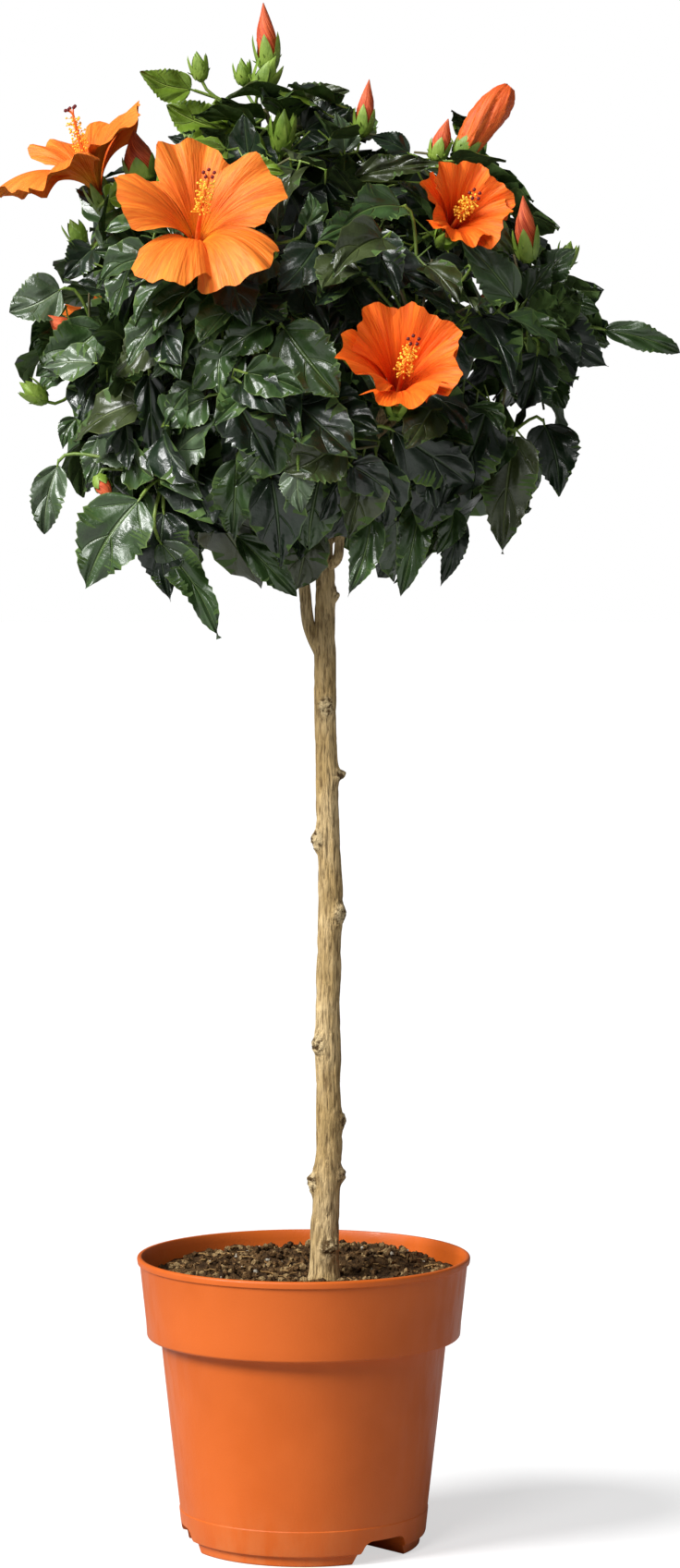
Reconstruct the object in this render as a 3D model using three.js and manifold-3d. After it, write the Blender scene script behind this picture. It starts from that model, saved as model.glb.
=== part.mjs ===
// A potted hibiscus grown as a standard: a plastic pot with its potting soil, one straight bare trunk,
// boughs that fork inside the crown, and a round crown made of separate masses of foliage.
// Millimetres, +Z up. The origin is the middle of the pot's underside, and -Y is the front.
import * as THREE from "three";
import { mergeVertices } from "three/addons/utils/BufferGeometryUtils.js";
import Module from "manifold-3d";

const wasm = await Module();
wasm.setup();

const UP = new THREE.Vector3(0, 0, 1);
const GAP = 0.3; // between pieces that touch
const TWIN_DISTANCE = 0.002; // corners nearer than this are a fault
const GOLDEN_ANGLE = (137.508 * Math.PI) / 180;

// Pot
const POT_SIDES = 32;
const POT_HEIGHT = 165;
const RIM_RADIUS = 95;
const COLLAR_RADIUS = 89.6;
const COLLAR_BOTTOM = 118;
const BODY_TOP_RADIUS = 81.5;
const BODY_FOOT_RADIUS = 69.6;
const FOOT_RADIUS = 66.3;
const FOOT_STEP = 6;
const POT_WALL = 1.8;
const DRAIN_CHANNEL = { count: 3, firstAngle: -48, inner: 26, floorWidth: 40, roofWidth: 27, height: 13 };
const DRAIN_HOLE = { radius: 4, at: [38, 56] };

// Potting soil
const SOIL_SIDES = POT_SIDES / 2; // so that its corners meet the pot's
const SOIL_LEVEL = 151;
const SOIL_RISE = { height: 5, from: -10, to: 80 };
const SOIL_HEAP = { x: 36, y: 46, height: 6, spread: 26 };
const SOIL_LUMP = 1.1;
const SOIL_RINGS = [70, 48, 27];
const SOIL_FLAT_RADIUS = 15;

// Trunk: where its middle is and how thick it is at each height
const TRUNK_SIDES = 9;
const TRUNK_STATIONS = [
  { z: 150.0, x: 11.4, y: 0.0, r: 9.6 },
  { z: 156.0, x: 11.6, y: 0.0, r: 8.4 },
  { z: 183.0, x: 12.1, y: 0.3, r: 8.0 },
  { z: 225.0, x: 14.6, y: 0.8, r: 7.2 },
  { z: 300.0, x: 13.6, y: 1.0, r: 7.0 },
  { z: 370.0, x: 15.3, y: 0.6, r: 6.9 },
  { z: 410.0, x: 14.0, y: 0.2, r: 6.5 },
  { z: 460.0, x: 12.6, y: -0.2, r: 6.3 },
  { z: 495.0, x: 12.2, y: 0.0, r: 6.2 },
  { z: 530.0, x: 12.2, y: 0.0, r: 5.6 },
  { z: 588.0, x: 11.8, y: 0.0, r: 4.7 },
];
const TRUNK_RING = 10; // height between rings of its mesh
// Old branch scars: height, bearing in degrees from +X, how far they stand out, half their height
const KNOTS = [
  { z: 170, bearing: -70, out: 1.6, half: 6 },
  { z: 207, bearing: 180, out: 2.4, half: 6 },
  { z: 211, bearing: 0, out: 1.6, half: 5 },
  { z: 242, bearing: 5, out: 2.0, half: 4 },
  { z: 286, bearing: 215, out: 2.0, half: 6 },
  { z: 360, bearing: -35, out: 1.8, half: 6 },
  { z: 402, bearing: 195, out: 2.6, half: 6 },
  { z: 439, bearing: 0, out: 2.6, half: 3.5 },
  { z: 478, bearing: -85, out: 1.6, half: 6 },
  { z: 541, bearing: 0, out: 1.2, half: 4 },
];

// Crown
const CROWN = { x: 7, y: 0, z: 683, rx: 160, ry: 156, rz: 143 };
const LIMB_SIDES = 5;
const SPACE_MARGIN = 0.6; // that a mass keeps from the wall of its space
const LIMB_CLEAR = 0.5; // that leaves and twigs keep from trunk and boughs

// Main boughs: seat on the trunk, bearing, thickness at both ends, and the height that each
// climbs beside the trunk before it leans out. The leader stands on the trunk's tip.
const MAIN_BOUGHS = [
  { name: "left", seat: 506, bearing: 180, r0: 3.1, r1: 2.2, climb: 56, tip: [-58, -12, 640] },
  { name: "front", seat: 566, bearing: -115, r0: 2.8, r1: 2.0, climb: 20, tip: [-26, -44, 672] },
  { name: "right", seat: 556, bearing: -35, r0: 3.0, r1: 2.1, climb: 18, tip: [46, -46, 648] },
  { name: "back_right", seat: 570, bearing: 40, r0: 2.9, r1: 2.0, climb: 20, tip: [52, 42, 650] },
  { name: "back", seat: 560, bearing: 118, r0: 2.9, r1: 2.0, climb: 20, tip: [-10, 56, 648] },
  { name: "leader", seat: 588, bearing: 90, r0: 3.6, r1: 2.2, climb: 60, tip: [2, 2, 738] },
];

// Masses of foliage: the middle of each one's space, the bough that bears it, and how far along
// that bough it forks off (1 is the bough's own tip).
const MASSES = [
  { name: "left", at: [-116, -22, 674], bough: "left", fork: 1 },
  { name: "front_left_low", at: [-76, -76, 606], bough: "left", fork: 0.72 },
  { name: "back_left_low", at: [-66, 62, 600], bough: "left", fork: 0.55 },
  { name: "front_left_high", at: [-58, -98, 736], bough: "front", fork: 1 },
  { name: "front_low", at: [2, -108, 618], bough: "front", fork: 0.6 },
  { name: "front_right", at: [62, -110, 682], bough: "right", fork: 1 },
  { name: "front_right_low", at: [96, -60, 608], bough: "right", fork: 0.55 },
  { name: "right", at: [134, 4, 692], bough: "right", fork: 0.78 },
  { name: "back_right", at: [96, 92, 680], bough: "back_right", fork: 1 },
  { name: "back_right_low", at: [62, 72, 600], bough: "back_right", fork: 0.5 },
  { name: "right_high", at: [102, -40, 770], bough: "back_right", fork: 0.78 },
  { name: "back", at: [2, 122, 676], bough: "back", fork: 1 },
  { name: "back_left", at: [-92, 84, 684], bough: "back", fork: 0.7 },
  { name: "top", at: [-22, 0, 814], bough: "leader", fork: 1 },
  { name: "left_high", at: [-110, -10, 758], bough: "leader", fork: 0.6 },
  { name: "back_left_high", at: [-52, 90, 768], bough: "leader", fork: 0.7 },
  { name: "back_right_high", at: [58, 84, 768], bough: "leader", fork: 0.82 },
];
const BOUGH_RADII = { r0: 2.3, r1: 1.7 }; // of a side bough
const BOUGH_TIP_INSIDE = 6; // a bough ends once it is this far inside its mass's space
// A mass's stem, and the seats along it that twigs may leave from. The seats slide down a step when
// twigs would fuse badly.
const STEM = { r0: 2.1, r1: 1.6, sides: 5 };
const SEATS = { count: 15, from: 0.2, to: 0.95, outward: 12, shift: 0.007, shifts: 20 };
// Shoots end at points spread evenly through a mass's space, between these shares of the crown.
const SHOOT = { count: 7, r0: 0.95, r1: 0.7, from: 0.5, to: 0.86, wall: 7, leaves: 6, bareBelow: 0.3 };
const LEAF = {
  shortest: 40, longest: 60, stalk: 8, half: 0.37, thick: 1.2,
  draws: 50, tests: 30, reach: 1.03,
};

const STALK = { leafyOver: 24, leaves: 3 }; // of flowers, buds and reaching leaves

// Open flowers: where the throat is, the way the flower faces, petal length, and openness from 0 to 1
const BLOOMS = [
  { name: "front", at: [-56, -122, 728], faces: [0.06, -0.72, 0.69], petal: 58, open: 0.97, turn: 12 },
  { name: "left", at: [-113, -40, 765], faces: [-0.36, -0.2, 0.9], petal: 57, open: 0.86, turn: 30 },
  { name: "right_low", at: [51, -124, 656], faces: [0.14, -0.62, 0.77], petal: 46, open: 0.6, turn: 0 },
  { name: "right_high", at: [92, -72, 746], faces: [0.42, -0.6, 0.66], petal: 42, open: 0.5, turn: 20 },
  { name: "back", at: [0, 134, 682], faces: [-0.05, 0.85, 0.5], petal: 46, open: 0.9, turn: 50 },
  { name: "back_right", at: [106, 102, 688], faces: [0.62, 0.55, 0.55], petal: 42, open: 0.6, turn: 8 },
  { name: "back_left", at: [-98, 96, 690], faces: [-0.6, 0.66, 0.45], petal: 48, open: 0.7, turn: 60 },
];

// Buds and one withered flower: foot, tip and thickness
const BUDS = [
  { name: "top_bud", foot: [-19, 0, 834], tip: [-22.4, 0, 873], r: 6.2 },
  { name: "green_bud_top_left", foot: [-57, 0, 829], tip: [-60, 0, 846], r: 4.6 },
  { name: "green_bud_top_middle", foot: [-36, 6, 829], tip: [-42, 6, 842], r: 4 },
  { name: "green_bud_top_front", foot: [-12, -34, 786], tip: [-10, -40, 810], r: 6 },
  { name: "right_top_bud", foot: [33, -22, 796], tip: [37, -22, 828], r: 5.2 },
  { name: "dark_tip_bud", foot: [79, -22, 780], tip: [85, -22, 803], r: 4.8 },
  { name: "withered_flower", foot: [86, -22, 784], tip: [115, -22, 824], r: 9 },
  { name: "opening_bud", foot: [-92, -24, 776], tip: [-90, -26, 798], r: 7 },
  { name: "right_bud", foot: [121, -42, 728], tip: [119, -44, 762], r: 6.4 },
  { name: "green_bud_right", foot: [146, -14, 723], tip: [150, -14, 739], r: 5 },
  { name: "left_edge_flower", foot: [-126, -40, 684], tip: [-141, -44, 696], r: 6 },
  { name: "left_tip_bud", foot: [-142, -40, 648], tip: [-157, -44, 659], r: 5 },
  { name: "low_left_bud", foot: [-113, -62, 607], tip: [-105, -70, 593], r: 4.6 },
  { name: "green_bud_left", foot: [-121, -52, 734], tip: [-128, -56, 748], r: 5 },
  { name: "back_bud", foot: [40, 118, 752], tip: [43, 128, 782], r: 6 },
  { name: "back_left_bud", foot: [-62, 104, 786], tip: [-68, 112, 816], r: 5.6 },
  { name: "back_low_bud", foot: [70, 128, 650], tip: [78, 140, 666], r: 5 },
];

// Leaves that make the crown's outline: foot and tip of the blade, half its width. Their upper
// sides face the front.
const REACHING_LEAVES = [
  { name: "right_reach", foot: [164, -20, 694], tip: [212, -12, 678], half: 11 },
  { name: "right_edge", foot: [138, -34, 698], tip: [170, -36, 668], half: 15 },
  { name: "right_upper", foot: [134, -24, 712], tip: [152, -26, 734], half: 10 },
  { name: "left_round", foot: [-132, -34, 712], tip: [-163, -36, 698], half: 15 },
  { name: "left_edge", foot: [-108, -54, 690], tip: [-147, -56, 662], half: 16 },
  { name: "top_left", foot: [-60, -8, 822], tip: [-91, -16, 830], half: 9 },
  { name: "top_left_low", foot: [-44, -18, 800], tip: [-76, -22, 814], half: 12 },
  { name: "top_right", foot: [-12, 4, 808], tip: [26, 0, 824], half: 12 },
  { name: "low_left_long", foot: [-72, -84, 568], tip: [-46, -86, 518], half: 13 },
  { name: "low_left_broad", foot: [-92, -94, 596], tip: [-121, -92, 546], half: 20 },
  { name: "low_left_inner", foot: [-80, -64, 588], tip: [-74, -64, 540], half: 13 },
  { name: "left_hanging", foot: [-135, -50, 616], tip: [-143, -52, 575], half: 10 },
  { name: "low_middle", foot: [39, -92, 588], tip: [25, -92, 541], half: 10 },
  { name: "low_right_green", foot: [66, -74, 596], tip: [54, -78, 541], half: 10 },
  { name: "low_right_dark", foot: [84, -60, 590], tip: [76, -62, 546], half: 8 },
  { name: "right_hanging", foot: [117, -66, 632], tip: [110, -70, 564], half: 16 },
  { name: "right_low_curled", foot: [136, -30, 640], tip: [146, -34, 596], half: 13 },
  { name: "right_before_flower", foot: [116, -62, 716], tip: [90, -72, 744], half: 12 },
  { name: "low_trunk_left", foot: [-36, -56, 576], tip: [-12, -58, 541], half: 10 },
  { name: "low_front_middle", foot: [0, -86, 608], tip: [-12, -88, 556], half: 17 },
];

const LOOKS = {
  pot: { color: 0xc46a33, roughness: 0.55 },
  soil: { color: 0x3a2c20, roughness: 0.95 },
  bark: { color: 0xa38b66, roughness: 0.9 },
  foliage: { color: 0x2c4a22, roughness: 0.45 },
};

const vec = (p) => new THREE.Vector3(...p);
const CROWN_MIDDLE = new THREE.Vector3(CROWN.x, CROWN.y, CROWN.z);
const radians = THREE.MathUtils.degToRad;
const lerp = THREE.MathUtils.lerp;

// A seeded row of random numbers from 0 to 1.
function randomRow(seed) {
  let state = seed >>> 0;
  return () => {
    state = (state + 0x6d2b79f5) >>> 0;
    let t = Math.imul(state ^ (state >>> 15), 1 | state);
    t = (t + Math.imul(t ^ (t >>> 7), 61 | t)) ^ t;
    return ((t ^ (t >>> 14)) >>> 0) / 4294967296;
  };
}

// Solids and geometries

function solidOf(geometry) {
  const plain = geometry.clone();
  plain.deleteAttribute("normal");
  plain.deleteAttribute("uv");
  const merged = mergeVertices(plain, 1e-3);
  const made = new wasm.Manifold(
    new wasm.Mesh({
      numProp: 3,
      vertProperties: merged.attributes.position.array,
      triVerts: new Uint32Array(merged.index.array),
    }),
  );
  if (made.volume() <= 0) throw new Error("a solid is inside out or flat");
  return made;
}

function geometryOf(solid) {
  const mesh = solid.getMesh();
  const stride = mesh.numProp;
  const positions = new Float32Array(mesh.numVert * 3);
  for (let i = 0; i < mesh.numVert; i++) {
    positions.set(mesh.vertProperties.subarray(i * stride, i * stride + 3), i * 3);
  }
  const geometry = new THREE.BufferGeometry()
    .setAttribute("position", new THREE.BufferAttribute(positions, 3))
    .setIndex(new THREE.BufferAttribute(mesh.triVerts, 1));
  geometry.computeVertexNormals();
  return geometry;
}

// The outer skin of the largest piece, so that a sealed hollow is filled and a loose scrap dropped.
function largestPiece(solid) {
  return solid.decompose().reduce((a, b) => (a.volume() > b.volume() ? a : b));
}

// A place where two corners of a solid lie closer together than its smallest real detail, if any.
function twinCorners(solid) {
  const mesh = solid.getMesh();
  const cells = new Map();
  for (let i = 0; i < mesh.numVert; i++) {
    const at = new THREE.Vector3().fromArray(mesh.vertProperties, i * mesh.numProp);
    const cell = at.toArray().map((value) => Math.round(value / TWIN_DISTANCE));
    for (let k = 0; k < 27; k++) {
      const step = [(k % 3) - 1, (Math.floor(k / 3) % 3) - 1, Math.floor(k / 9) - 1];
      const beside = cell.map((value, axis) => value + step[axis]);
      const other = cells.get(beside.join());
      if (other && other.distanceTo(at) < TWIN_DISTANCE) return at;
    }
    cells.set(cell.join(), at);
  }
  return null;
}

// The largest piece with its smallest edges merged, a little more each time until no twins are left
// and it stays one piece. "fault" is where it still isn't clean.
function smoothed(solid) {
  let fault = null;
  let tidy = solid;
  for (const tolerance of [0.02, 0.04, 0.08]) {
    tidy = solidOf(geometryOf(largestPiece(solid.simplify(tolerance))));
    fault = twinCorners(tidy);
    const pieces = tidy.decompose();
    if (pieces.length > 1) fault = cornersOf(pieces.sort((a, b) => a.volume() - b.volume())[0])[0];
    if (!fault) break;
  }
  return { tidy, fault };
}

function cornersOf(solid) {
  const mesh = solid.getMesh();
  const points = [];
  for (let i = 0; i < mesh.numVert; i++) {
    points.push(new THREE.Vector3().fromArray(mesh.vertProperties, i * mesh.numProp));
  }
  return points;
}

function fromTriangles(points, triangles) {
  const geometry = new THREE.BufferGeometry().setFromPoints(points);
  geometry.setIndex(triangles.flat());
  return solidOf(geometry);
}

// A closed lathe whose profile lists [radius, height] from the bottom of the axis to its top.
function turned(profile, sides) {
  const outline = profile.map(([r, z]) => new THREE.Vector2(r, z));
  return new THREE.LatheGeometry(outline, sides).rotateX(Math.PI / 2);
}

// A cylinder bent along a curve, its radius given by share of length and angle.
function bentCylinder(curve, radiusAt, sides, steps) {
  const geometry = new THREE.CylinderGeometry(1, 1, 1, sides, steps);
  const frames = curve.computeFrenetFrames(steps, false);
  const position = geometry.attributes.position;
  for (let i = 0; i < position.count; i++) {
    const share = position.getY(i) + 0.5;
    const x = position.getX(i);
    const z = position.getZ(i);
    const radius = Math.hypot(x, z) * radiusAt(share, Math.atan2(z, x));
    const angle = Math.atan2(z, x);
    const step = Math.round(share * steps);
    const point = curve
      .getPointAt(share)
      .addScaledVector(frames.normals[step], -Math.cos(angle) * radius)
      .addScaledVector(frames.binormals[step], Math.sin(angle) * radius);
    position.setXYZ(i, point.x, point.y, point.z);
  }
  return solidOf(geometry);
}

function taperedLimb(curve, r0, r1, sides, steps) {
  return bentCylinder(curve, (share) => lerp(r0, r1, share), sides, steps);
}

// Pot and soil

function cavityProfile(clear) {
  return [
    [0, POT_WALL + clear],
    [FOOT_RADIUS - POT_WALL - clear, POT_WALL + clear],
    [BODY_FOOT_RADIUS - POT_WALL - clear, FOOT_STEP + POT_WALL],
    [BODY_TOP_RADIUS - POT_WALL - clear, COLLAR_BOTTOM + POT_WALL + clear],
    [COLLAR_RADIUS - POT_WALL - 3 - clear, COLLAR_BOTTOM + POT_WALL + clear + 1],
    [COLLAR_RADIUS - POT_WALL - clear, COLLAR_BOTTOM + POT_WALL + 6],
    [RIM_RADIUS - 1.6 - POT_WALL - clear, POT_HEIGHT - 4],
  ];
}

// The radial channels under the floor that let water drain, each grown by a margin.
function drainChannels(grow) {
  const length = RIM_RADIUS - DRAIN_CHANNEL.inner + grow;
  const half = { floor: DRAIN_CHANNEL.floorWidth / 2 + grow, roof: DRAIN_CHANNEL.roofWidth / 2 + grow };
  const section = new THREE.Shape([
    new THREE.Vector2(-half.floor, -5),
    new THREE.Vector2(half.floor, -5),
    new THREE.Vector2(half.floor - 1, 0),
    new THREE.Vector2(half.roof, DRAIN_CHANNEL.height + grow),
    new THREE.Vector2(-half.roof, DRAIN_CHANNEL.height + grow),
    new THREE.Vector2(-half.floor + 1, 0),
  ]);
  const inner = DRAIN_CHANNEL.inner - grow;
  const channel = new THREE.ExtrudeGeometry(section, { depth: length, bevelEnabled: false })
    .rotateX(Math.PI / 2)
    .translate(0, -inner, 0);
  const solids = [];
  for (let k = 0; k < DRAIN_CHANNEL.count; k++) {
    const bearing = radians(90 + DRAIN_CHANNEL.firstAngle + (k * 360) / DRAIN_CHANNEL.count);
    solids.push(solidOf(channel.clone().rotateZ(bearing)));
  }
  return wasm.Manifold.union(solids);
}

function drainHoles() {
  const solids = [];
  for (let k = 0; k < DRAIN_CHANNEL.count; k++) {
    const bearing = radians(DRAIN_CHANNEL.firstAngle + (k * 360) / DRAIN_CHANNEL.count);
    for (const distance of DRAIN_HOLE.at) {
      const hole = new THREE.CylinderGeometry(DRAIN_HOLE.radius, DRAIN_HOLE.radius, 30, 10)
        .rotateX(Math.PI / 2)
        .translate(distance * Math.cos(bearing), distance * Math.sin(bearing), DRAIN_CHANNEL.height);
      solids.push(solidOf(hole));
    }
  }
  return wasm.Manifold.union(solids);
}

function potSolid() {
  const outside = turned(
    [
      [0, 0],
      [FOOT_RADIUS, 0],
      [FOOT_RADIUS + 0.5, FOOT_STEP - 0.6],
      [BODY_FOOT_RADIUS - 0.8, FOOT_STEP],
      [BODY_TOP_RADIUS, COLLAR_BOTTOM],
      [COLLAR_RADIUS - 3, COLLAR_BOTTOM + 0.6],
      [COLLAR_RADIUS, COLLAR_BOTTOM + 7],
      [RIM_RADIUS - 1.6, POT_HEIGHT - 4.5],
      [RIM_RADIUS, POT_HEIGHT - 3.5],
      [RIM_RADIUS, POT_HEIGHT],
      [0, POT_HEIGHT],
    ],
    POT_SIDES,
  );
  const throat = [
    [RIM_RADIUS - 2.8, POT_HEIGHT + 1],
    [0, POT_HEIGHT + 1],
  ];
  const inside = solidOf(turned([...cavityProfile(0), ...throat], POT_SIDES));
  const hollow = inside.subtract(drainChannels(POT_WALL));
  return smoothed(solidOf(outside).subtract(drainChannels(0)).subtract(hollow).subtract(drainHoles())).tidy;
}

// The height of the soil's surface.
function soilHeight(x, y) {
  const slope = THREE.MathUtils.smoothstep(y, SOIL_RISE.from, SOIL_RISE.to) * SOIL_RISE.height;
  const heapDistance = Math.hypot(x - SOIL_HEAP.x, y - SOIL_HEAP.y) / SOIL_HEAP.spread;
  const heap = SOIL_HEAP.height * Math.exp(-heapDistance * heapDistance);
  const broad = Math.sin(x * 0.13 + 0.7) * Math.cos(y * 0.15);
  const fine = Math.sin(x * 0.31 + 1.3) * Math.sin(y * 0.27);
  return SOIL_LEVEL + slope + heap + SOIL_LUMP * (broad + fine);
}

function soilSolid() {
  const foot = TRUNK_STATIONS[0];
  const wall = cavityProfile(GAP).slice(0, -1);
  const edge = RIM_RADIUS - 1.6 - POT_WALL - GAP - 1.8;
  const rings = [edge, ...SOIL_RINGS, SOIL_FLAT_RADIUS];
  const profile = [...wall, ...rings.map((r) => [r, SOIL_LEVEL]), [0, SOIL_LEVEL]];
  const geometry = turned(profile, SOIL_SIDES);
  const position = geometry.attributes.position;
  for (let i = 0; i < position.count; i++) {
    if (position.getZ(i) < SOIL_LEVEL - 1) continue;
    const x = position.getX(i);
    const y = position.getY(i);
    const share = THREE.MathUtils.smoothstep(Math.hypot(x, y), SOIL_FLAT_RADIUS, SOIL_RINGS.at(-1) + 4);
    const inner = THREE.MathUtils.smoothstep(edge - Math.hypot(x, y), -1, 3);
    const free = lerp(SOIL_LEVEL, soilHeight(x, y), share);
    position.setXYZ(i, x + foot.x * (1 - share) * inner, y, free);
  }
  const socket = new THREE.CylinderGeometry(foot.r + 2, foot.r + 2, 20, 16)
    .rotateX(Math.PI / 2)
    .translate(foot.x, foot.y, foot.z - GAP + 10);
  const holes = drainChannels(POT_WALL + GAP);
  return smoothed(solidOf(geometry).subtract(holes).subtract(solidOf(socket))).tidy;
}

// Trunk and boughs

function trunkMiddle(z) {
  const after = TRUNK_STATIONS.findIndex((s) => s.z >= z);
  const [a, b] = [TRUNK_STATIONS[Math.max(0, after - 1)], TRUNK_STATIONS[after]];
  const share = a === b ? 0 : (z - a.z) / (b.z - a.z);
  return { x: lerp(a.x, b.x, share), y: lerp(a.y, b.y, share), r: lerp(a.r, b.r, share) };
}

function trunkSolid(grow) {
  const bottom = TRUNK_STATIONS[0].z;
  const top = TRUNK_STATIONS.at(-1).z;
  const steps = Math.round((top - bottom) / TRUNK_RING);
  const geometry = new THREE.CylinderGeometry(1, 1, top - bottom, TRUNK_SIDES, steps).rotateX(Math.PI / 2);
  const position = geometry.attributes.position;
  for (let i = 0; i < position.count; i++) {
    const z = position.getZ(i) + (top + bottom) / 2;
    const spread = Math.hypot(position.getX(i), position.getY(i));
    const bearing = Math.atan2(position.getY(i), position.getX(i));
    const middle = trunkMiddle(Math.min(z, top));
    let radius = middle.r + grow;
    for (const knot of KNOTS) {
      const turn = Math.cos(bearing - radians(knot.bearing));
      const height = (z - knot.z) / knot.half;
      radius += knot.out * Math.exp(-height * height) * Math.max(0, turn) ** 4;
    }
    const x = middle.x + Math.cos(bearing) * radius * spread;
    const y = middle.y + Math.sin(bearing) * radius * spread;
    position.setXYZ(i, x, y, z + grow * (z > (top + bottom) / 2 ? 1 : 0));
  }
  return solidOf(geometry);
}

function mainBoughCurve(bough) {
  const seat = trunkMiddle(bough.seat);
  const outward = new THREE.Vector3(Math.cos(radians(bough.bearing)), Math.sin(radians(bough.bearing)), 0);
  const tip = vec(bough.tip);
  if (bough.name === "leader") {
    const start = new THREE.Vector3(seat.x, seat.y, bough.seat + GAP);
    const over = start.clone().addScaledVector(UP, bough.climb);
    return new THREE.CatmullRomCurve3([start, over, tip]);
  }
  const start = new THREE.Vector3(seat.x, seat.y, bough.seat).addScaledVector(outward, seat.r * 0.3);
  const beside = new THREE.Vector3(seat.x, seat.y, bough.seat + bough.climb * 0.3).addScaledVector(
    outward,
    seat.r + bough.r0 + 0.6,
  );
  const leaving = beside
    .clone()
    .addScaledVector(UP, bough.climb * 0.7)
    .addScaledVector(outward, bough.climb * 0.12);
  return new THREE.CatmullRomCurve3([start, beside, leaving, tip]);
}

// Spaces of the masses: a point belongs to the nearest middle, so each space is a convex cell.

const spaces = MASSES.map((mass, i) => {
  const middle = vec(mass.at);
  return MASSES.filter((_, j) => j !== i).map((other) => {
    const there = vec(other.at);
    const normal = there.clone().sub(middle).normalize();
    return { normal, limit: normal.dot(there.clone().add(middle).multiplyScalar(0.5)) };
  });
});

// How far a point is inside its mass's space. It is negative outside.
function depthInSpace(point, index) {
  return Math.min(...spaces[index].map((wall) => wall.limit - wall.normal.dot(point)));
}

function inCrown(point, share) {
  const x = (point.x - CROWN.x) / (CROWN.rx * share);
  const y = (point.y - CROWN.y) / (CROWN.ry * share);
  const z = (point.z - CROWN.z) / (CROWN.rz * share);
  return x * x + y * y + z * z <= 1;
}

const mainCurves = new Map(MAIN_BOUGHS.map((bough) => [bough.name, mainBoughCurve(bough)]));

function sideBoughCurve(mass, index) {
  const parent = mainCurves.get(mass.bough);
  const start = parent.getPointAt(mass.fork);
  const heading = parent.getTangentAt(mass.fork);
  const middle = vec(mass.at);
  const span = start.distanceTo(middle);
  const onward = start.clone().lerp(middle, 0.4);
  const over = start.clone().addScaledVector(heading, span * 0.12).lerp(onward, 0.5);
  const whole = new THREE.CatmullRomCurve3([start, over, middle]);
  let share = 0.3;
  while (share < 0.8 && depthInSpace(whole.getPointAt(share), index) < BOUGH_TIP_INSIDE) share += 0.05;
  return new THREE.CatmullRomCurve3([start, whole.getPointAt(share * 0.5), whole.getPointAt(share)]);
}

const limbs = new Map([["trunk", trunkSolid(0)]]);
const grownLimbs = [trunkSolid(LIMB_CLEAR)];
const boughTips = new Map();
const grownTrunk = trunkSolid(GAP);

function addBough(name, curve, r0, r1, steps, seats) {
  let solid = taperedLimb(curve, r0, r1, LIMB_SIDES, steps);
  for (const seat of seats) solid = solid.subtract(seat);
  limbs.set(name, smoothed(solid).tidy);
  grownLimbs.push(taperedLimb(curve, r0 + LIMB_CLEAR, r1 + LIMB_CLEAR, LIMB_SIDES, steps));
  return taperedLimb(curve, r0 + GAP, r1 + GAP, LIMB_SIDES, steps);
}

for (const bough of MAIN_BOUGHS) {
  const curve = mainCurves.get(bough.name);
  const seats = bough.name === "leader" ? [] : [grownTrunk];
  const grown = addBough("bough_" + bough.name, curve, bough.r0, bough.r1, 7, seats);
  MASSES.forEach((mass, index) => {
    if (mass.bough !== bough.name) return;
    if (mass.fork === 1) {
      boughTips.set(mass.name, { point: curve.getPointAt(1), heading: curve.getTangentAt(1) });
      return;
    }
    const side = sideBoughCurve(mass, index);
    addBough("side_bough_" + mass.name, side, BOUGH_RADII.r0, BOUGH_RADII.r1, 4, [grown]);
    boughTips.set(mass.name, { point: side.getPointAt(1), heading: side.getTangentAt(1) });
  });
}
const allLimbsGrown = wasm.Manifold.union(grownLimbs);

// Leaves, flowers and buds

// The corners of a leaf: its root in the middle of the twig, both sides, the tip and the rib below.
// "along" runs down the blade and "face" stands off its upper side.
function leafCorners(frame, stalk, length, half) {
  const { root, along, face } = frame;
  const side = new THREE.Vector3().crossVectors(face, along);
  const place = (distance, across, lift) =>
    root.clone().addScaledVector(along, distance).addScaledVector(side, across).addScaledVector(face, lift);
  const widest = stalk + length * 0.36;
  return [
    place(0, 0, 0),
    place(widest, half, length * 0.06),
    place(stalk + length, 0, -length * 0.05),
    place(widest, -half, length * 0.06),
    place(stalk * 0.8, 0, -LEAF.thick * 0.8),
  ];
}

function leafSolid(corners) {
  return fromTriangles(corners, [[0, 3, 1], [1, 3, 2], [0, 1, 4], [1, 2, 4], [2, 3, 4], [3, 0, 4]]);
}

// A frame whose blade runs from foot to tip, its upper side turned as near as can be to "towards".
function frameTo(foot, tip, towards, roll) {
  const along = tip.clone().sub(foot).normalize();
  const face = towards.clone().addScaledVector(along, -towards.dot(along)).normalize();
  face.applyAxisAngle(along, roll);
  return { root: foot, along, face };
}

// A point of the corolla, by share of the petal's length and by angle round the flower.
function pointOnCorolla(bloom, axes, share, angle) {
  const flare = lerp(0.3, 1.5, bloom.open);
  const out = axes.across.clone().multiplyScalar(Math.cos(angle));
  out.addScaledVector(axes.over, Math.sin(angle));
  const point = vec(bloom.at).addScaledVector(out, 1.5);
  const steps = 6;
  for (let k = 0; k < steps; k++) {
    const turn = lerp(0.25, 1, ((k + 0.5) / steps) * share) * flare;
    const step = (bloom.petal * share) / steps;
    point.addScaledVector(out, Math.sin(turn) * step).addScaledVector(axes.axis, Math.cos(turn) * step);
  }
  return point;
}

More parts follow.
